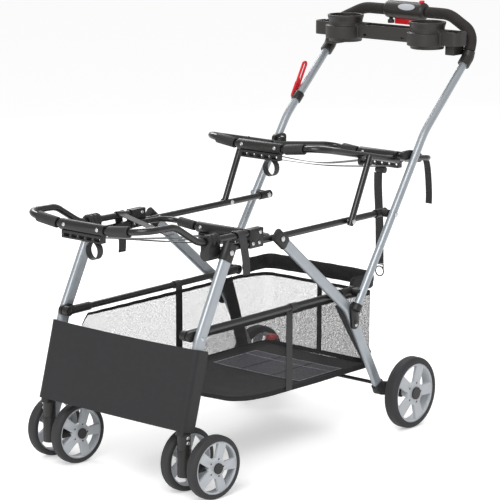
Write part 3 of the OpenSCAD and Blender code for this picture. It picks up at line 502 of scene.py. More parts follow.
# %% Helpers for cloth
def skin(name, rows, faces, place_across):
    """A mesh over rows of points in millimetres. place_across gives a corner's U in metres."""
    mesh = bpy.data.meshes.new(name)
    mesh.from_pydata((rows.reshape(-1, 3) * MM).tolist(), [], faces)
    along = np.cumsum(np.r_[0, np.linalg.norm(np.diff(rows, axis=0), axis=2).mean(1)]) * MM
    layer = mesh.uv_layers.new(name="UVMap")
    for face in mesh.polygons:
        spots = {i: divmod(mesh.loops[i].vertex_index, rows.shape[1]) for i in face.loop_indices}
        columns = [c for r, c in spots.values()]
        for i, (r, c) in spots.items():
            layer.data[i].uv = (place_across(c, columns), along[r])
    piece = bpy.data.objects.new(name, mesh)
    bpy.context.scene.collection.objects.link(piece)
    return piece


def cloth(name, rows, finish, thick_mm, body, slot, smooth=1):
    """A sheet over rows of points in millimetres that rides on a body."""
    rows = np.array(rows, float)
    count, across = rows.shape[:2]
    faces = [
        (r * across + c, r * across + c + 1, (r + 1) * across + c + 1, (r + 1) * across + c)
        for r in range(count - 1) for c in range(across - 1)
    ]
    over = np.cumsum(np.r_[0, np.linalg.norm(np.diff(rows, axis=1), axis=2).mean(0)]) * MM
    piece = skin(name, rows, faces, lambda c, columns: over[c])
    if smooth:
        apply_modifier(piece, "SUBSURF", levels=smooth, render_levels=smooth)
    apply_modifier(piece, "SOLIDIFY", thickness=thick_mm * MM, offset=0)
    bpy.ops.object.shade_smooth_by_angle(angle=math.radians(50))
    return dress(piece, name, finish, body, slot)


def flat_area(rows):
    """Area of the skin over rows of points, in square metres."""
    p = np.array(rows, float) * MM
    a, b, c, d = p[:-1, :-1], p[:-1, 1:], p[1:, 1:], p[1:, :-1]
    halves = np.linalg.norm(np.cross(b - a, c - a), axis=2) + np.linalg.norm(np.cross(c - a, d - a), axis=2)
    return float(halves.sum() / 2)


def ripple(point, size_mm, seed=0.0):
    """Smooth noise from -1 to 1 that changes over about size_mm."""
    return noise.noise(Vector(point) / size_mm + Vector((seed, seed * 0.7, -seed)))


print("cloth helpers ready")

# %% [markdown]
# ## Front panel
# A nylon panel is wrapped round both front legs and pulled tight between them. It has a hem at the top and
# the bottom, and small creases run out from the legs, where the wrap pulls. It is drawn in the plane of the
# lower legs: one row of points per height, each row a wide U that turns back round the legs.

# %% Outline of the front panel
LEG_BEND = np.array([-464.0, 366.0])  # y and z, mm
LEG_END = np.array([-520.0, 165.0])
DOWN = (LEG_END - LEG_BEND) / np.linalg.norm(LEG_END - LEG_BEND)
FORWARD = np.array([DOWN[1], -DOWN[0]])
PANEL_RUN = (21.0, 212.0)  # its top and bottom, down the leg from the bend
PANEL_HALF = 234.8
PANEL_FACE = 21.4  # forward of the leg's middle
PANEL_BACK = -20.0
WRAP_R = 11.0


def panel_profile():
    """The U, from one back edge round both legs to the other: (x, forward)."""
    side = [(PANEL_HALF, f) for f in np.linspace(PANEL_BACK, PANEL_FACE - WRAP_R, 6)[:-1]]
    corner = [
        (PANEL_HALF - WRAP_R + WRAP_R * math.cos(a), PANEL_FACE - WRAP_R + WRAP_R * math.sin(a))
        for a in np.linspace(0, math.pi / 2, 7)
    ]
    front = [(x, PANEL_FACE) for x in np.linspace(PANEL_HALF - WRAP_R, 0, 30)[1:]]
    half = side + corner + front
    return [(-x, f) for x, f in half] + [(x, f) for x, f in reversed(half[:-1])]


profile = panel_profile()
print("panel", len(profile), "points across")

# %% Front panel
HEM_MM = 13.0
HEM_PROUD = 0.5
PULL_MM = 90.0  # the pull of the wrap dies out this far from the legs
CREASE_MM, WAVE_MM = 34, 90  # sizes of the creases and of the broad waves
SAG_MM = 3.0
TOP_PART = 60  # above this run the sag is full
panel_rows = []
for run in np.linspace(*PANEL_RUN, 34):
    row = []
    edge = min(run - PANEL_RUN[0], PANEL_RUN[1] - run)
    hem = HEM_PROUD if edge < HEM_MM else 0.0
    for x, f in profile:
        pull = max(0.0, 1 - (PANEL_HALF - abs(x)) / PULL_MM)
        crease = 1.0 * ripple((x * 0.5, run, 0), CREASE_MM, 2.0) * (0.35 + pull)
        crease += 0.9 * ripple((x, run, 0), WAVE_MM, 5.0)
        sag = SAG_MM * (1 - (x / PANEL_HALF) ** 2) * (1 if run < TOP_PART else 0.3) * (1 - edge / 95)
        y, z = LEG_BEND + (run + sag) * DOWN + (f + crease * (0.6 if f < 15 else 1.0) + hem) * FORWARD
        row.append((x + (0.8 * crease if f < PANEL_FACE - 1 else 0), y, z))
    panel_rows.append(row)
panel = cloth("front_panel_cloth", panel_rows, black_oxford, 1.2, "front_legs", "nylon")
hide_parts("front_panel")
print("panel", round(flat_area(panel_rows), 4), "m2")

# %% [markdown]
# ## Basket
# The basket is a cloth tub hung from the lower rails. Its sides and back are one length of knitted net, its
# floor is a black cloth that climbs at the front like the bow of a boat, and a padded band closes the back.
# The floor's side line is given by a few points and smoothed; net and floor both follow it.

# %% Line of the basket's floor
BASKET_X = 178.4
BACK_Y = 253.2
BACK_R = 30.0
NET_TOP = 363.5
BOW_Y = -430  # ahead of this the line turns up too sharply to be smoothed
SMOOTH_MM = 22
FLOOR_Y = np.array([-450.0, -442, -420, -380, -310, -240, -160, -70, 20, 108, 200, 254])
FLOOR_Z = np.array([262.0, 228, 217, 204, 180, 167, 161, 160, 158, 158, 157, 157])


def floor_z(y):
    """Height of the floor's edge, smoothed between the points."""
    near = np.linspace(y - SMOOTH_MM, y + SMOOTH_MM, 9) if y > BOW_Y else np.array([y])
    return float(np.interp(near, FLOOR_Y, FLOOR_Z).mean())


def mirrored(half):
    """A line seen from above, from its left end to its right, from its right half."""
    return [(-x, y) for x, y in half] + [(x, y) for x, y in reversed(half[:-1])]


print("floor at the middle", round(floor_z(0), 1), "mm")

# %% Outline of the net
def net_path():
    """The tub's outline seen from above: left side, rounded back, right side."""
    y_turn = BACK_Y - BACK_R
    side = [(BASKET_X, y) for y in np.linspace(-446, y_turn, 60)]
    turn = [
        (BASKET_X - BACK_R + BACK_R * math.cos(a), y_turn + BACK_R * math.sin(a))
        for a in np.linspace(0, math.pi / 2, 8)[1:]
    ]
    back = [(x, BACK_Y) for x in np.linspace(BASKET_X - BACK_R, 0, 16)[1:]]
    return mirrored(side + turn + back)


print("net outline", len(net_path()), "points")

# %% Net sides and back
# The net bellies out a little between the webbing, and puckers under its top edge.
BELLY_MM, PUCKER_MM = 1.6, 1.2
SIDE_X = 150  # past this the net is a side and moves along x, else it is the back
net_rows = []
for x, y in net_path():
    low = floor_z(min(y, BACK_Y)) + 1.5
    top = NET_TOP - 9 * max(0.0, (y - 140) / (BACK_Y - 140)) - 26 * max(0.0, (-425 - y) / 21)
    row = []
    for share in np.linspace(0, 1, 13):
        z = low + (top - low) * share
        belly = BELLY_MM * math.sin(math.pi * share) * ripple((x * 0.3, y, z * 0.3), 70, 1.0)
        pucker = PUCKER_MM * share**6 * math.sin(y / 9.0 + x / 13.0)
        out = belly + pucker - 0.8
        row.append((x + (out if x > 0 else -out) * (abs(x) > SIDE_X), y + out * (abs(x) <= SIDE_X), z))
    net_rows.append(row)
net = cloth("basket_net", net_rows, basket_net, 0.12, "lower_rails", "mesh", smooth=0)
top_hem.inputs[1].default_value = max(corner.uv[0] for corner in net.data.uv_layers[0].data) - TOP_HEM_MM * MM
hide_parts("basket_sides")
print("net", round(flat_area(net_rows), 3), "m2")

# %% Floor cloth
# The cloth dips between its edges and turns up a little where it is sewn to the net.
FLOOR_HALF = 176.8
TURN_UP_X = 160
FLOOR_WAVE_MM = 60
floor_rows = []
for y in np.r_[-450, -446, -441, np.linspace(-436, 252, 56)]:
    row = []
    for x in np.linspace(-FLOOR_HALF, FLOOR_HALF, 29):
        share = 1 - (x / FLOOR_HALF) ** 2
        dip = 5.0 * share * min(1.0, (y + 450) / 120)
        lift = 7.0 * max(0.0, (abs(x) - TURN_UP_X) / (FLOOR_HALF - TURN_UP_X)) ** 2
        row.append((x, y, floor_z(y) + 3.2 + lift - dip * 0.5 + 0.9 * ripple((x, y, 0), FLOOR_WAVE_MM, 3.0)))
    floor_rows.append(row)
basket_base = cloth("basket_floor_cloth", floor_rows, band_oxford, 1.4, "lower_rails", "nylon")
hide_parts("basket_floor")
print("floor", round(flat_area(floor_rows), 3), "m2")

# %% Floor board
# A stiffer grey board lies on the cloth and follows its waves. It sinks a little at its seams.
SEAM_WIDE = 6
board_rows = []
for y in np.linspace(BOARD[2], BOARD[3], 40):
    row = []
    for x in np.linspace(BOARD[0], BOARD[1], 27):
        quilt = 0.9 * min(1.0, abs(abs(x) - SEAM_OUT) / SEAM_WIDE)
        dip = 2.5 * (1 - (x / FLOOR_HALF) ** 2)
        row.append((x, y, floor_z(y) + 4.4 - dip + quilt + 0.9 * ripple((x, y, 0), FLOOR_WAVE_MM, 3.0)))
    board_rows.append(row)
board = cloth("basket_floor_board", board_rows, floor_board, 1.0, "lower_rails", "nylon")
print("board", round(flat_area(board_rows), 3), "m2")

# %% [markdown]
# ### Padded band at the back
# A soft roll of the same cloth, thinly stuffed and wrinkled by the gathers. It could be sculpted, but an oval
# swept along the outline of the back is quicker, and noise that runs round the oval makes its wrinkles.

# %% Helpers for padded rolls
END_FULLNESS = (0.35, 0.75, 0.93, 1.0)  # of the band's first rings


def ring_rows(line, z, section, wrinkle):
    """Rows of points round a line that lies flat at a height, each row a closed ring."""
    rows, line = [], [Vector((x, y, 0)) for x, y in line]
    run = 0.0
    for i, point in enumerate(line):
        ahead = (line[min(i + 1, len(line) - 1)] - line[max(i - 1, 0)]).normalized()
        outward = Vector((ahead.y, -ahead.x, 0))
        run += (point - line[i - 1]).length if i else 0.0
        full = END_FULLNESS[min(i, len(line) - 1 - i, 3)]
        rows.append([])
        for a in np.linspace(0, 2 * math.pi, 25)[:-1]:
            crumple = 1 + wrinkle * ripple((run, 26 * a, 0), 17, 4.0)
            crumple += 0.5 * wrinkle * ripple((run, 10 * a, 9), 42, 6.0)
            out = section[1] / 2 * math.cos(a) * full * crumple
            up = section[0] / 2 * math.sin(a) * full * (1 + 0.06 * ripple((run, 0, 0), 30, 8.0))
            rows[-1].append(tuple(point + outward * out)[:2] + (z + up,))
    return rows


def ring_skin(name, rows, finish, body, slot):
    """A closed roll over rings of points in millimetres, with its ends capped."""
    rows = np.array(rows, float)
    count, around = rows.shape[:2]
    faces = [
        (r * around + c, r * around + (c + 1) % around, (r + 1) * around + (c + 1) % around, (r + 1) * around + c)
        for r in range(count - 1) for c in range(around)
    ]
    faces += [tuple(range(around - 1, -1, -1)), tuple(range((count - 1) * around, count * around))]
    step = np.linalg.norm(rows[0, 1] - rows[0, 0]) * MM
    piece = skin(name, rows, faces,
                 lambda c, columns: (c + around * (around - 1 in columns and c == 0)) * step)
    face_outward(piece)
    apply_modifier(piece, "SUBSURF", levels=1, render_levels=1)
    bpy.ops.object.shade_smooth()
    return dress(piece, name, finish, body, slot)


print("roll helpers ready")

# %% Padded band
BAND_X = BASKET_X - 1.5
BAND_Z = 384.0
BAND_FULL = (40.0, 11.0)  # height and thickness, mm
BAND_START, BAND_TURN = 150, 233.0
BAND_R = 28.0
BAND_DEEP = BAND_R - 3
WRINKLE = 0.38
band_half = [(BAND_X, y) for y in np.linspace(BAND_START, BAND_TURN, 18)]
band_half += [
    (BAND_X - BAND_R + BAND_R * math.cos(a), BAND_TURN + BAND_DEEP * math.sin(a))
    for a in np.linspace(0, math.pi / 2, 14)[1:]
]
band_half += [(x, BAND_TURN + BAND_DEEP) for x in np.linspace(BAND_X - BAND_R, 0, 24)[1:]]
band_rings = ring_rows(mirrored(band_half), BAND_Z, BAND_FULL, WRINKLE)
band = ring_skin("basket_band", band_rings, band_oxford, "lower_rails", "nylon")
print("band", len(band.data.polygons), "faces")

# %% [markdown]
# ## Straps
# Webbing keeps its width, bends one way only and lies flat on what it crosses. A Blender curve could carry it,
# but its twist is hard to hold, so each strap is drawn as a few points along its middle, smoothed, with its
# width laid along a given direction.

# %% Helpers for straps
WEB_EDGES = (-0.5, -0.46, 0, 0.46, 0.5)  # places across a strap, as shares of its width


def flow(points, step=5.0):
    """A smooth curve through points, as points about step apart."""
    points = [np.array(p, float) for p in points]
    ends = [2 * points[0] - points[1]] + points + [2 * points[-1] - points[-2]]
    line = []
    for a, b, c, d in zip(ends, ends[1:], ends[2:], ends[3:]):
        count = max(2, int(np.linalg.norm(c - b) / step))
        for t in np.arange(count) / count:
            line.append(0.5 * (2 * b + (c - a) * t + (2 * a - 5 * b + 4 * c - d) * t**2
                               + (3 * b - a - 3 * c + d) * t**3))
    return line + [points[-1]]


def webbing(name, points, width, wide, body, thick=1.5):
    """A strap through points whose width lies along wide."""
    line = flow(points)
    rows = []
    for i, p in enumerate(line):
        ahead = line[min(i + 1, len(line) - 1)] - line[max(i - 1, 0)]
        ahead = ahead / np.linalg.norm(ahead)
        over = np.array(wide, float) - np.dot(wide, ahead) * ahead
        over = over / np.linalg.norm(over)
        rows.append([p + over * width * s for s in WEB_EDGES])
    return cloth(name, rows, black_webbing, thick, body, "webbing", smooth=0), line


def length_of(line):
    """Length of a line of points, in metres."""
    return float(np.linalg.norm(np.diff(np.array(line), axis=0), axis=1).sum() * MM)


X, Y, Z = np.eye(3)
SIDES = ((1, "right"), (-1, "left"))
print("strap helpers ready")

# %% Straps that both trays have
# A loop hangs under the front guide, and two straps cross from the front guide to the rear one.
GUIDE_OUT = 11.6
LOOP_X, LOOP_DOWN = 34, 50.3
LOOP = [(8, 20), (17, 10), (18.5, -3), (12, -15), (0, -19.5), (-12, -15), (-18.5, -3), (-17, 10), (-8, 20)]


def hanging_loop(name, bar, body):
    """A loop of webbing under a guide on the tray's bar."""
    y, z = bar[0], bar[1] - LOOP_DOWN
    return webbing(name, [(LOOP_X + dx, y, z + dz) for dx, dz in LOOP], 18, Y, body)[0]


def crossing(name, side, bar, back, sags, body):
    """A strap from a front guide to the rear guide of the other side, with its sag at three places."""
    start = np.array([side * 50, bar[0] + GUIDE_OUT - 2, bar[1] - 22 + side * 3])
    end = np.array([-side * 50, back[0] - GUIDE_OUT + 2, back[1] - 22 + side * 3])
    points = [start, start * 0.75 + end * 0.25 - sags[0] * Z, (start + end) / 2 - sags[1] * Z,
              start * 0.25 + end * 0.75 - sags[2] * Z, end]
    webbing(name, points, 22, X, body)


print("loop and crossing ready")

# %% Straps of the front tray
# One more pair is slung from the crossing to the side tubes, goes over the tube and leaves a short tail outside.
TRAY1_BAR = (-616.0, 626.0)  # y and z, mm
TRAY1_BACK = (-143.0, 548.0)
SLING_Y = -300.0
SLING_LOW = {"right": 552.0, "left": 558.0}
front_loop = hanging_loop("front_strap_loop", TRAY1_BAR, "upper_frame")
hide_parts("front_tray_straps")
for side, name in SIDES:
    crossing(f"front_crossing_strap_{name}", side, TRAY1_BAR, TRAY1_BACK, (3, 4, 3), "upper_frame")
    low = SLING_LOW[name]
    sling = [(17, 0, low), (60, 0, low + 5), (120, 0, low + 17), (176, 1, 587), (183, 2, 592.4), (190, 3, 593.8),
             (197, 5, 591.2), (200.2, 8, 583), (200.4, 16, 550), (200.2, 23, 515), (201.5, 23, 487)]
    webbing(f"front_side_strap_{name}", [(side * x, SLING_Y + y, z) for x, y, z in sling], 25, Y, "upper_frame")
print("front tray straps", 5)

# %% Straps of the rear tray
TRAY2_BAR = (12.0, 736.07)
TRAY2_BACK = (507.0, 655.0)
rear_loop = hanging_loop("rear_strap_loop", TRAY2_BAR, "rear_tray")
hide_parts("rear_tray_straps")
for side, name in SIDES:
    crossing(f"rear_crossing_strap_{name}", side, TRAY2_BAR, TRAY2_BACK, (9, 13, 8), "rear_tray")
print("rear tray straps", 3)

# %% [markdown]
# ### Tether, ring, reel and tail
# A strap hangs from a reel at the back of the rear tray and ends in a ring, and a loose tail hangs beside it.
# The lengths of the two that hang free are printed. The ring, the reel and a buckle are
# small mouldings, made from primitives whose edges are rounded.

# %% Helpers for small mouldings
def settle():
    """Moves a new piece's place, turn and scale into its mesh."""
    bpy.ops.object.transform_apply(location=True, rotation=True, scale=True)


def block(low, high, turn=0.0, middle=None):
    """A block between two corners, turned about X, in millimetres."""
    low, high = np.array(low, float), np.array(high, float)
    bpy.ops.object.select_all(action="DESELECT")
    bpy.ops.mesh.primitive_cube_add(size=1, location=(low + high) / 2 * MM)
    piece = bpy.context.active_object
    piece.dimensions = (high - low) * MM
    settle()
    if turn:
        bpy.ops.transform.rotate(value=-turn, orient_axis="X", center_override=np.array(middle) * MM)
        settle()
    return piece


def join(pieces):
    """Joins pieces into the first of them."""
    bpy.ops.object.select_all(action="DESELECT")
    for piece in pieces:
        piece.select_set(True)
    bpy.context.view_layer.objects.active = pieces[0]
    bpy.ops.object.join()
    return pieces[0]


def bevelled(piece, radius_mm, segments=3):
    """Rounds the sharp edges of a piece."""
    apply_modifier(piece, "BEVEL", width=radius_mm * MM, segments=segments, angle_limit=math.radians(40))
    bpy.ops.object.shade_smooth_by_angle(angle=math.radians(35))
    return piece


print("moulding helpers ready")

# %% Ring of the tether
# A round ring under a flat frame that holds the strap.
REEL_Z = TRAY2_BACK[1] - 41.3
RING_Z = REEL_Z - 275.0
RING_R, WIRE_R = 13.2, 1.7
HALF_BAR = 1.2
bpy.ops.object.select_all(action="DESELECT")
bpy.ops.mesh.primitive_torus_add(location=(0, TRAY2_BACK[0] * MM, RING_Z * MM), rotation=(math.pi / 2, 0, 0),
                                 major_radius=RING_R * MM, minor_radius=WIRE_R * MM,
                                 major_segments=48, minor_segments=12)
ring = bpy.context.active_object
settle()
bars = []
for x, half_wide, low, high in ((-12.0, HALF_BAR, 6, 20), (12.0, HALF_BAR, 6, 20), (0, RING_R, 18, 20.2)):
    bars.append(block((x - half_wide, TRAY2_BACK[0] - HALF_BAR, RING_Z + low),
                      (x + half_wide, TRAY2_BACK[0] + HALF_BAR, RING_Z + high)))
join([ring] + bars)
bpy.ops.object.shade_smooth_by_angle(angle=math.radians(40))
dress(ring, "tether_ring", black_nylon, "rear_tray", "plastic")
print("ring", len(ring.data.polygons), "faces")

# %% Tether and tail
TETHER = [(-9, 507, REEL_Z - 9), (-8, 506.5, 560), (-3, 507.5, 470), (0, 507, RING_Z + 21)]
tether, tether_line = webbing("tether_strap", TETHER, 26, X, "rear_tray")
TAIL = [(139.5, 500, 663), (139.5, 512, 659), (139.5, 522, 640), (139.5, 529, 600), (139.5, 532.5, 560),
        (139.5, 532, 536)]
tail, tail_line = webbing("tray_strap_tail", TAIL, 20, X, "rear_tray")
print("tether", round(length_of(tether_line), 3), "m, tail", round(length_of(tail_line), 3), "m")

# %% Reel of the tether
# A moulded drum: a cylinder whose ends are inset and sunk, so that it reads as two flanges on a barrel.
REEL_R, REEL_LONG = 10.8, 32
FLANGE_MM, SUNK_MM = 2.6, 2.0
bpy.ops.object.select_all(action="DESELECT")
bpy.ops.mesh.primitive_cylinder_add(vertices=40, radius=REEL_R * MM, depth=REEL_LONG * MM,
                                    rotation=(0, math.pi / 2, 0),
                                    location=(0, TRAY2_BACK[0] * MM, REEL_Z * MM))
reel = bpy.context.active_object
settle()
bpy.ops.object.mode_set(mode="EDIT")
bpy.ops.mesh.select_all(action="DESELECT")
bpy.ops.object.mode_set(mode="OBJECT")
for face in reel.data.polygons:
    face.select = abs(face.normal.x) > 0.9
bpy.ops.object.mode_set(mode="EDIT")
bpy.ops.mesh.inset(thickness=FLANGE_MM * MM, depth=-SUNK_MM * MM)
bpy.ops.object.mode_set(mode="OBJECT")
dress(bevelled(reel, 0.8, 2), "tether_reel", black_nylon, "rear_tray", "plastic")
print("reel", len(reel.data.polygons), "faces")

# %% [markdown]
# ### Webbing of the basket
# Each side has a strap that is sewn to the net and turns round the lower rail, and a wide stay strap at the
# back. One more strap is sewn down the middle of the back. When the frame folds, the lower rails meet the
# upper ones and the hanging cloth crumples up under the rails.

# %% Webbing of the basket
WEB_Y = -92.0
RAIL = (190.0, 376.0)  # x and z of the lower rail, mm
TURN_R = 9.1
STAY_FOOT = {"right": [(138, 296), (178, 240), (215, 188)], "left": [(118, 300), (142, 228), (165, 160)]}
for side, name in SIDES:
    turn = [(side * (RAIL[0] - TURN_R * math.cos(a)), WEB_Y, RAIL[1] + TURN_R * math.sin(a))
            for a in np.linspace(0, math.radians(290), 9)]
    sewn_down = [(side * 180.2, WEB_Y, 163), (side * 180.4, WEB_Y, 250), (side * 180.6, WEB_Y, 345)]
    hung, _ = webbing(f"basket_side_strap_{name}", sewn_down + turn, 23, Y, "lower_rails")
    stay = [(side * 185.6, 98, 356)] + [(side * 185.4, y, z) for y, z in STAY_FOOT[name]]
    webbing(f"basket_stay_strap_{name}", stay, 40, Y, "lower_rails")
    if side > 0:
        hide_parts("basket_trim")
back = [(-4, 255.2, 160), (-4, 255.8, 250), (-4, 256, 330), (-4, 257.4, 366)]
webbing("basket_back_strap", back, 15, X, "lower_rails")
print("basket straps", 5)

# %% Buckle of the far stay strap
# The plain body of a side-release buckle.
BUCKLE_AT = np.array([-186.5, 157.0, 183.0])  # its middle, mm
BUCKLE = np.array([5.8, 36.8, 26.8])
buckle = block(BUCKLE_AT - BUCKLE / 2, BUCKLE_AT + BUCKLE / 2)
dress(bevelled(buckle, 2.2), "stay_strap_buckle", black_nylon, "lower_rails", "plastic")
print("buckle", len(buckle.data.polygons), "faces")

# %% Own meshes for the hanging pieces
# The hanging pieces, the buckle, the tether and the ring each get a mesh of their own.
hanging = ["basket_net", "basket_floor_cloth", "basket_floor_board", "basket_back_strap"]
hanging += [f"basket_{kind}_strap_{name}" for kind in ("side", "stay") for name in ("left", "right")]
for name in hanging + ["stay_strap_buckle"]:
    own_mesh(bpy.data.objects[name])
for piece in (tether, ring):
    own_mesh(piece)
print("crumpling", len(hanging) + 3, "pieces")

# %% [markdown]
# ## Foam grips
# Each half of the handlebar carries a foam sleeve from the elbow to the console. The sleeve follows the bent
# bar, its ends are slightly pinched, and the foam is a little uneven. A bevelled curve would give a perfect
# tube, so rings of points are used here as on the band.

# %% Line of the foam grip
HANDLE_TOP = np.array([572.0, 925.0])  # y and z, mm
BAR_LEAN = np.array([0.34, 0.94])
BAR_RISE = 108


def on_bar(x, rise):
    """A point of the handlebar's own plane, in millimetres."""
    return np.array([x, *(HANDLE_TOP + rise * BAR_LEAN)])


def round_corner(before, corner, after, radius, count=12):
    """Points of an arc that rounds a corner of a path."""
    a, b = before - corner, after - corner
    a, b = a / np.linalg.norm(a), b / np.linalg.norm(b)
    half = math.acos(np.clip(np.dot(a, b), -1, 1)) / 2
    middle = corner + (a + b) / np.linalg.norm(a + b) * radius / math.sin(half)
    start, end = corner + a * radius / math.tan(half) - middle, corner + b * radius / math.tan(half) - middle
    sweep = math.pi - 2 * half
    return [middle + (math.sin(sweep * (1 - t)) * start + math.sin(sweep * t) * end) / math.sin(sweep)
            for t in np.linspace(0, 1, count)]


corners = [on_bar(226, 17), on_bar(226, 64), on_bar(140, BAR_RISE), on_bar(67.5, BAR_RISE)]
path = [corners[0]] + round_corner(*corners[:3], 52) + round_corner(*corners[1:], 90)
path += [corners[2] * (1 - t) + corners[3] * t for t in np.linspace(0.5, 1, 5)]
spaced = [path[0] + (path[1] - path[0]) * t for t in (0, 0.06, 0.16, 0.5)] + path[1:-1]
spaced += [path[-1] + (path[-2] - path[-1]) * t for t in (0.3, 0.1, 0)]
print("foam line", len(spaced), "points")

# %% Foam grips
FOAM_R = 15.0
PINCH = (2.6, 0.7, 0)  # how much thinner the end rings are
UNEVEN_FOAM = 0.25
ACROSS = np.array([0, BAR_LEAN[1], -BAR_LEAN[0]])
for side, name in SIDES:
    rows, run = [], 0.0
    for i, p in enumerate(spaced):
        ahead = spaced[min(i + 1, len(spaced) - 1)] - spaced[max(i - 1, 0)]
        ahead = ahead / np.linalg.norm(ahead)
        other = np.cross(ahead, ACROSS)
        run += np.linalg.norm(p - spaced[i - 1]) if i else 0.0
        full = FOAM_R - PINCH[min(i, len(spaced) - 1 - i, 2)]
        rows.append([])
        for a in np.linspace(0, 2 * math.pi, 33)[:-1]:
            reach = full + UNEVEN_FOAM * ripple((run, 9 * a, side), 15, 3.0)
            rows[-1].append((p + reach * (math.cos(a) * ACROSS + math.sin(a) * other)) * (side, 1, 1))
    foam = ring_skin(f"foam_grip_{name}", rows, dark_foam, "handle", "foam")
    if side > 0:
        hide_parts("foam_grips")
print("foam", len(foam.data.polygons), "faces each")

# %% [markdown]
# ## Moulded parts with soft edges
# A moulding never has a sharp edge. Each moulded node is copied, its triangles are merged back to flat faces,
# and a bevel rounds the edges that are left. The copy stands in for the node.

# %% Round the moulded edges
SOFT_MM = {
    "rail_brackets": 1.6, "front_tray_plates": 3.0, "rear_tray_plates": 3.0, "front_tray_clips": 1.4,
    "front_tray_grips": 1.6, "rear_tray_grips": 1.6, "front_leg_fittings": 1.2, "rear_leg_fittings": 1.2,
    "lower_rail_fittings": 1.2, "latch_brackets": 1.4, "caster_fork_left": 1.6, "caster_fork_right": 1.6,
    "release_trigger": 2.0, "lock_button": 1.5, "storage_latch": 1.4, "console": 1.0, "fold_pins": 0.7,
}
SOFT_MM |= {name: 1.0 for name in nodes if "_rim_" in name}
SLOTS = {part["node"]: part["material_slot"] for part in frame["record"]["subparts"]}


def soften(name, radius_mm):
    """A copy of a node with its edges rounded, which replaces the node."""
    node = nodes[name]
    piece = bpy.data.objects.new(f"{name}_soft", node.data.copy())
    bpy.context.scene.collection.objects.link(piece)
    select_only(piece)
    bpy.ops.object.mode_set(mode="EDIT")
    bpy.ops.mesh.select_all(action="SELECT")
    bpy.ops.mesh.remove_doubles(threshold=0.02 * MM)
    bpy.ops.mesh.dissolve_limited(angle_limit=math.radians(1))
    bpy.ops.object.mode_set(mode="OBJECT")
    face_outward(piece)
    bevelled(piece, radius_mm, 2)
    return dress(piece, f"{name}_soft", node.data.materials[0], node["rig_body"], SLOTS[name], name)


soft = {name: soften(name, radius) for name, radius in SOFT_MM.items()}
print("softened", len(soft), "nodes,", sum(len(p.data.polygons) for p in soft.values()), "faces")

# %% Painted shade in the sockets round the hubs
# Five shallow sockets are sunk round each hub; the shade in them is painted black on their floors. They are the
# faces that lie just under the rim's face, about a third of the way out. The wheel's axis is the rim's thinnest
# direction.
SOCKET_MM = (1.2, 3.4)  # least and greatest depth
SOCKET_OUT = (0.27, 0.41)  # shares of the rim's radius
for name in [n for n in soft if "_rim_" in n]:
    rim = soft[name].data
    points = np.array([v.co for v in rim.vertices])
    middle = points.mean(0)
    axis = np.linalg.svd(points - middle, full_matrices=False)[2][2]
    radius = np.linalg.norm(np.cross(points - middle, axis), axis=1).max()
    # The second finish is black nylon, which paints the shade on the socket floors.
    rim.materials.append(black_nylon)
    for outward in (axis, -axis):
        top = ((points - middle) @ outward).max()
        for face in rim.polygons:
            spot = np.array(face.center) - middle
            depth = (top - spot @ outward) / MM
            share = np.linalg.norm(np.cross(spot, outward)) / radius
            painted_shade_floor = SOCKET_MM[0] < depth < SOCKET_MM[1] and SOCKET_OUT[0] < share < SOCKET_OUT[1]
            if painted_shade_floor and np.dot(face.normal, outward) > 0.8:
                face.material_index = 1
print("socket faces on the last rim", sum(face.material_index for face in rim.polygons))

# %% [markdown]
# ## Parent tray
# The tray between the handle tubes is one moulding: a bar with round ends, a bulge round each cup, a flared rim
# and deep pockets. It could be modelled as one surface, but its joints are hard to blend by hand. Simple solids
# are joined, the hollows are cut out, and a fine voxel remesh with a little smoothing melts the joints into
# fillets.

# %% Helpers for solids
def cylinder(centre, radius, low, high, top_radius=None):
    """An upright cylinder or cone, in millimetres."""
    bpy.ops.object.select_all(action="DESELECT")
    bpy.ops.mesh.primitive_cone_add(vertices=72, radius1=radius * MM, radius2=(top_radius or radius) * MM,
                                    depth=(high - low) * MM,
                                    location=(centre[0] * MM, centre[1] * MM, (low + high) / 2 * MM))
    settle()
    return bpy.context.active_object


def side_block(side, x, y, z):
    """A block from its ranges of x, y and z, on the right or mirrored to the left."""
    low_x, high_x = sorted(side * edge for edge in x)
    return block((low_x, y[0], z[0]), (high_x, y[1], z[1]))


def combine(base, others, operation):
    """Boolean of a solid with others, which are used up."""
    for other in others:
        apply_modifier(base, "BOOLEAN", operation=operation, object=other, solver="EXACT")
        bpy.data.objects.remove(other)


print("solid helpers ready")

# %% Bar of the tray
# Only the upright edges are rounded, so they are the ones that get a bevel weight.
TRAY_X = 236.0
TRAY_Y = (508.0, 564.0)
TRAY_Z = (957.0, 993.0)
END_R = 20.0
tray = block((-TRAY_X, TRAY_Y[0], TRAY_Z[0]), (TRAY_X, TRAY_Y[1], TRAY_Z[1]))
weights = tray.data.attributes.new("bevel_weight_edge", "FLOAT", "EDGE")
for edge in tray.data.edges:
    one, other = (tray.data.vertices[i].co for i in edge.vertices)
    weights.data[edge.index].value = float(abs((one - other).z) > 0.01)
apply_modifier(tray, "BEVEL", limit_method="WEIGHT", width=END_R * MM, segments=10)
print("bar", len(tray.data.polygons), "faces")

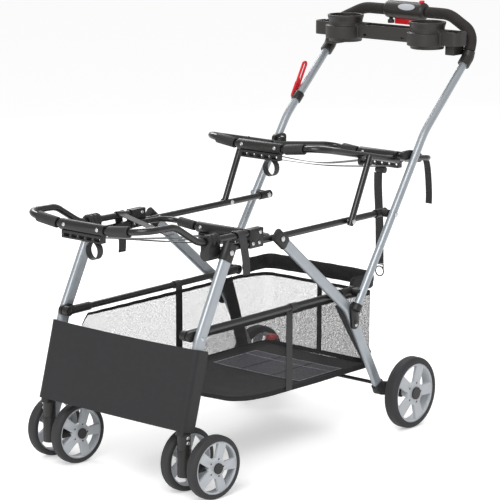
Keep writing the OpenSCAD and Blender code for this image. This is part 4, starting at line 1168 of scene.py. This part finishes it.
# %% Cups and pockets of the tray
WALL = 3.0
CUP_X, CUP_Y, CUP_R = 134.0, 520.0, 42.0
CUP_LOW, CUP_RIM = 945.0, 1015.0
CUP_OUT = CUP_R + WALL
FLARE = 3.2
LUG_X, LUG_Y, LUG_LOW = (182.0, 209.7), (532.0, 578.0), 930.5
POCKET_X, POCKET_Y = (186.0, 230.0), (514.0, 558.0)
MIDDLE_X = 78
SLOT_X, SLOT_HALF, SLOT_Z = 62, 5, (964, 968.5)
added, cut = [], []
for side in (-1, 1):
    cup = (side * CUP_X, CUP_Y)
    added += [
        cylinder(cup, CUP_OUT - 1.5, CUP_LOW, CUP_LOW + 8, CUP_OUT),
        cylinder(cup, CUP_OUT, CUP_LOW + 7.5, CUP_RIM - 1),
        cylinder((cup[0], cup[1] - 6.5), CUP_OUT + 4, TRAY_Z[0] - 3, TRAY_Z[1] - 6),
        cylinder(cup, CUP_OUT, CUP_RIM - 16, CUP_RIM - 4, CUP_OUT + FLARE),
        cylinder(cup, CUP_OUT + FLARE, CUP_RIM - 4.5, CUP_RIM),
        side_block(side, LUG_X, LUG_Y, (LUG_LOW, TRAY_Z[0] + 2)),
    ]
    cut += [
        cylinder(cup, CUP_R, CUP_LOW + WALL, CUP_RIM + 30),
        side_block(side, POCKET_X, POCKET_Y, (TRAY_Z[0] + WALL, TRAY_Z[1] + 20)),
        block((side * SLOT_X - SLOT_HALF, TRAY_Y[0] - 5, SLOT_Z[0]),
              (side * SLOT_X + SLOT_HALF, TRAY_Y[0] + 4, SLOT_Z[1])),
    ]
cut.append(block((-MIDDLE_X, TRAY_Y[0] + WALL, TRAY_Z[0] + WALL), (MIDDLE_X, TRAY_Y[1] - WALL, TRAY_Z[1] + 20)))
combine(tray, added, "UNION")
combine(tray, cut, "DIFFERENCE")
print("joined", len(added), "solids and cut", len(cut))

# %% Melt the joints
VOXEL_MM = 1.6
tray.data.remesh_voxel_size = VOXEL_MM * MM
bpy.ops.object.voxel_remesh()
apply_modifier(tray, "SMOOTH", factor=0.5, iterations=5)
bpy.ops.object.shade_smooth()
dress(tray, "parent_tray_moulding", charcoal_abs, "handle", "charcoal", "parent_tray")
print("tray", len(tray.data.polygons), "faces")

# %% [markdown]
# ## Plate, brake pedal and rivets
# The console carries a thin satin oval plate, bent to its barrel: a filled circle is stretched and wrapped on
# to the barrel point by point. The brake pedal is a red pad on a black arm, so the node is made again as two
# pieces. Rivets are small zinc domes on the plates, the saddles, the caster sockets and the handle's foot;
# one flattened ball makes them all.

# %% Oval plate on the console
BAR_MID = HANDLE_TOP + BAR_RISE * BAR_LEAN
BARREL_AT, BARREL_R = (BAR_MID[0], BAR_MID[1] + 1.5), 23.0  # y and z, and the radius, mm
PLATE = (27.0, 9.0)  # half width and half height, mm
PLATE_X = 15.0
PLATE_UP = math.radians(28)
PLATE_THICK = 1.2
bpy.ops.object.select_all(action="DESELECT")
bpy.ops.mesh.primitive_circle_add(vertices=64, radius=1.0, fill_type="TRIFAN")
plate = bpy.context.active_object
bpy.ops.object.mode_set(mode="EDIT")
bpy.ops.mesh.subdivide(number_cuts=4)
bpy.ops.object.mode_set(mode="OBJECT")
reach = BARREL_R + PLATE_THICK / 2
for vertex in plate.data.vertices:
    angle = PLATE_UP + vertex.co.y * PLATE[1] / BARREL_R
    vertex.co = Vector((PLATE_X + vertex.co.x * PLATE[0], BARREL_AT[0] - reach * math.cos(angle),
                        BARREL_AT[1] + reach * math.sin(angle))) * MM
apply_modifier(plate, "SOLIDIFY", thickness=PLATE_THICK * MM, offset=0)
face_outward(plate)
bpy.ops.object.shade_smooth_by_angle(angle=math.radians(35))
dress(plate, "console_blank_plate", silver_abs, "handle", "rim")
print("plate", len(plate.data.polygons), "faces")

# %% Brake pedal
PIVOT = (268.0, 112.0)  # y and z of its pin, mm
PAD = (308.0, 152.0)
PAD_LONG = 38.0
HALF_PAD = 4
PAD_TILT = math.radians(38)
ARM_X, PAD_X = (-196, -186), (-229, -195)
HALF_ARM = 8.5
arm_y, arm_z = np.array(PAD) - PIVOT
arm_long = math.hypot(arm_y, arm_z)
arm = block((ARM_X[0], PIVOT[0] - HALF_ARM, PIVOT[1] - HALF_ARM),
            (ARM_X[1], PIVOT[0] + arm_long + 3, PIVOT[1] + HALF_ARM), math.atan2(arm_z, arm_y), (0, *PIVOT))
dress(bevelled(arm, 3.0), "brake_arm", black_nylon, "brake", "plastic", "brake_pedal")
pad = block((PAD_X[0], PAD[0] - PAD_LONG / 2, PAD[1] - HALF_PAD),
            (PAD_X[1], PAD[0] + PAD_LONG / 2, PAD[1] + HALF_PAD), PAD_TILT, (0, *PAD))
dress(bevelled(pad, 2.6), "brake_pad", red_abs, "brake", "red", "brake_pedal")
print("pedal arm", round(arm_long, 1), "mm")

# %% Places of the rivets
# Each is given by its place and the direction that it faces.
SADDLE = [(-252.0, 558.0), (-230.0, 558.0), (-226.0, 582.5)]
SADDLE_X = (200.6, 180.4)  # outer and inner face
PLATE_FACE = (53, -11.8, 2)  # from the middle of a tray's bar


def plate_rivets(side, *bars):
    """Rivets on the plates of a tray, which face forward."""
    x, y, z = PLATE_FACE
    return [((side * x, bar[0] + y, bar[1] + z), (0, -1, 0)) for bar in bars]


rivets = {"upper_frame": [], "rear_tray": [], "front_legs": [], "handle": []}
for side in (-1, 1):
    for x, facing in zip(SADDLE_X, (side, -side)):
        rivets["upper_frame"] += [((side * x, y, z), (facing, 0, 0)) for y, z in SADDLE]
    rivets["upper_frame"] += plate_rivets(side, TRAY1_BAR, TRAY1_BACK)
    rivets["rear_tray"] += plate_rivets(side, TRAY2_BAR, TRAY2_BACK)
    rivets["front_legs"] += [((side * 234.6, -522, z), (side, 0, 0)) for z in (137, 149)]
    rivets["front_legs"].append(((side * 228.2, -463.4, 370.6), (side, 0, 0)))
    rivets["handle"].append(((side * 221.6, 120.8, 296.4), (side, 0, 0)))
print("rivets", {body: len(places) for body, places in rivets.items()})

# %% Rivets
RIVET_R = 4.8
DOME = 0.5  # height of the dome as a share of its radius
for body, places in rivets.items():
    heads = []
    for place, facing in places:
        bpy.ops.object.select_all(action="DESELECT")
        bpy.ops.mesh.primitive_uv_sphere_add(segments=20, ring_count=10, radius=RIVET_R * MM,
                                             location=np.array(place) * MM,
                                             rotation=Vector(facing).to_track_quat("Z", "Y").to_euler())
        heads.append(bpy.context.active_object)
        heads[-1].scale = (1, 1, DOME)
        settle()
    join(heads)
    bpy.ops.object.shade_smooth()
    dress(heads[0], f"{body}_rivets", zinc_plate, body, "steel")
print("rivets made for", list(rivets))
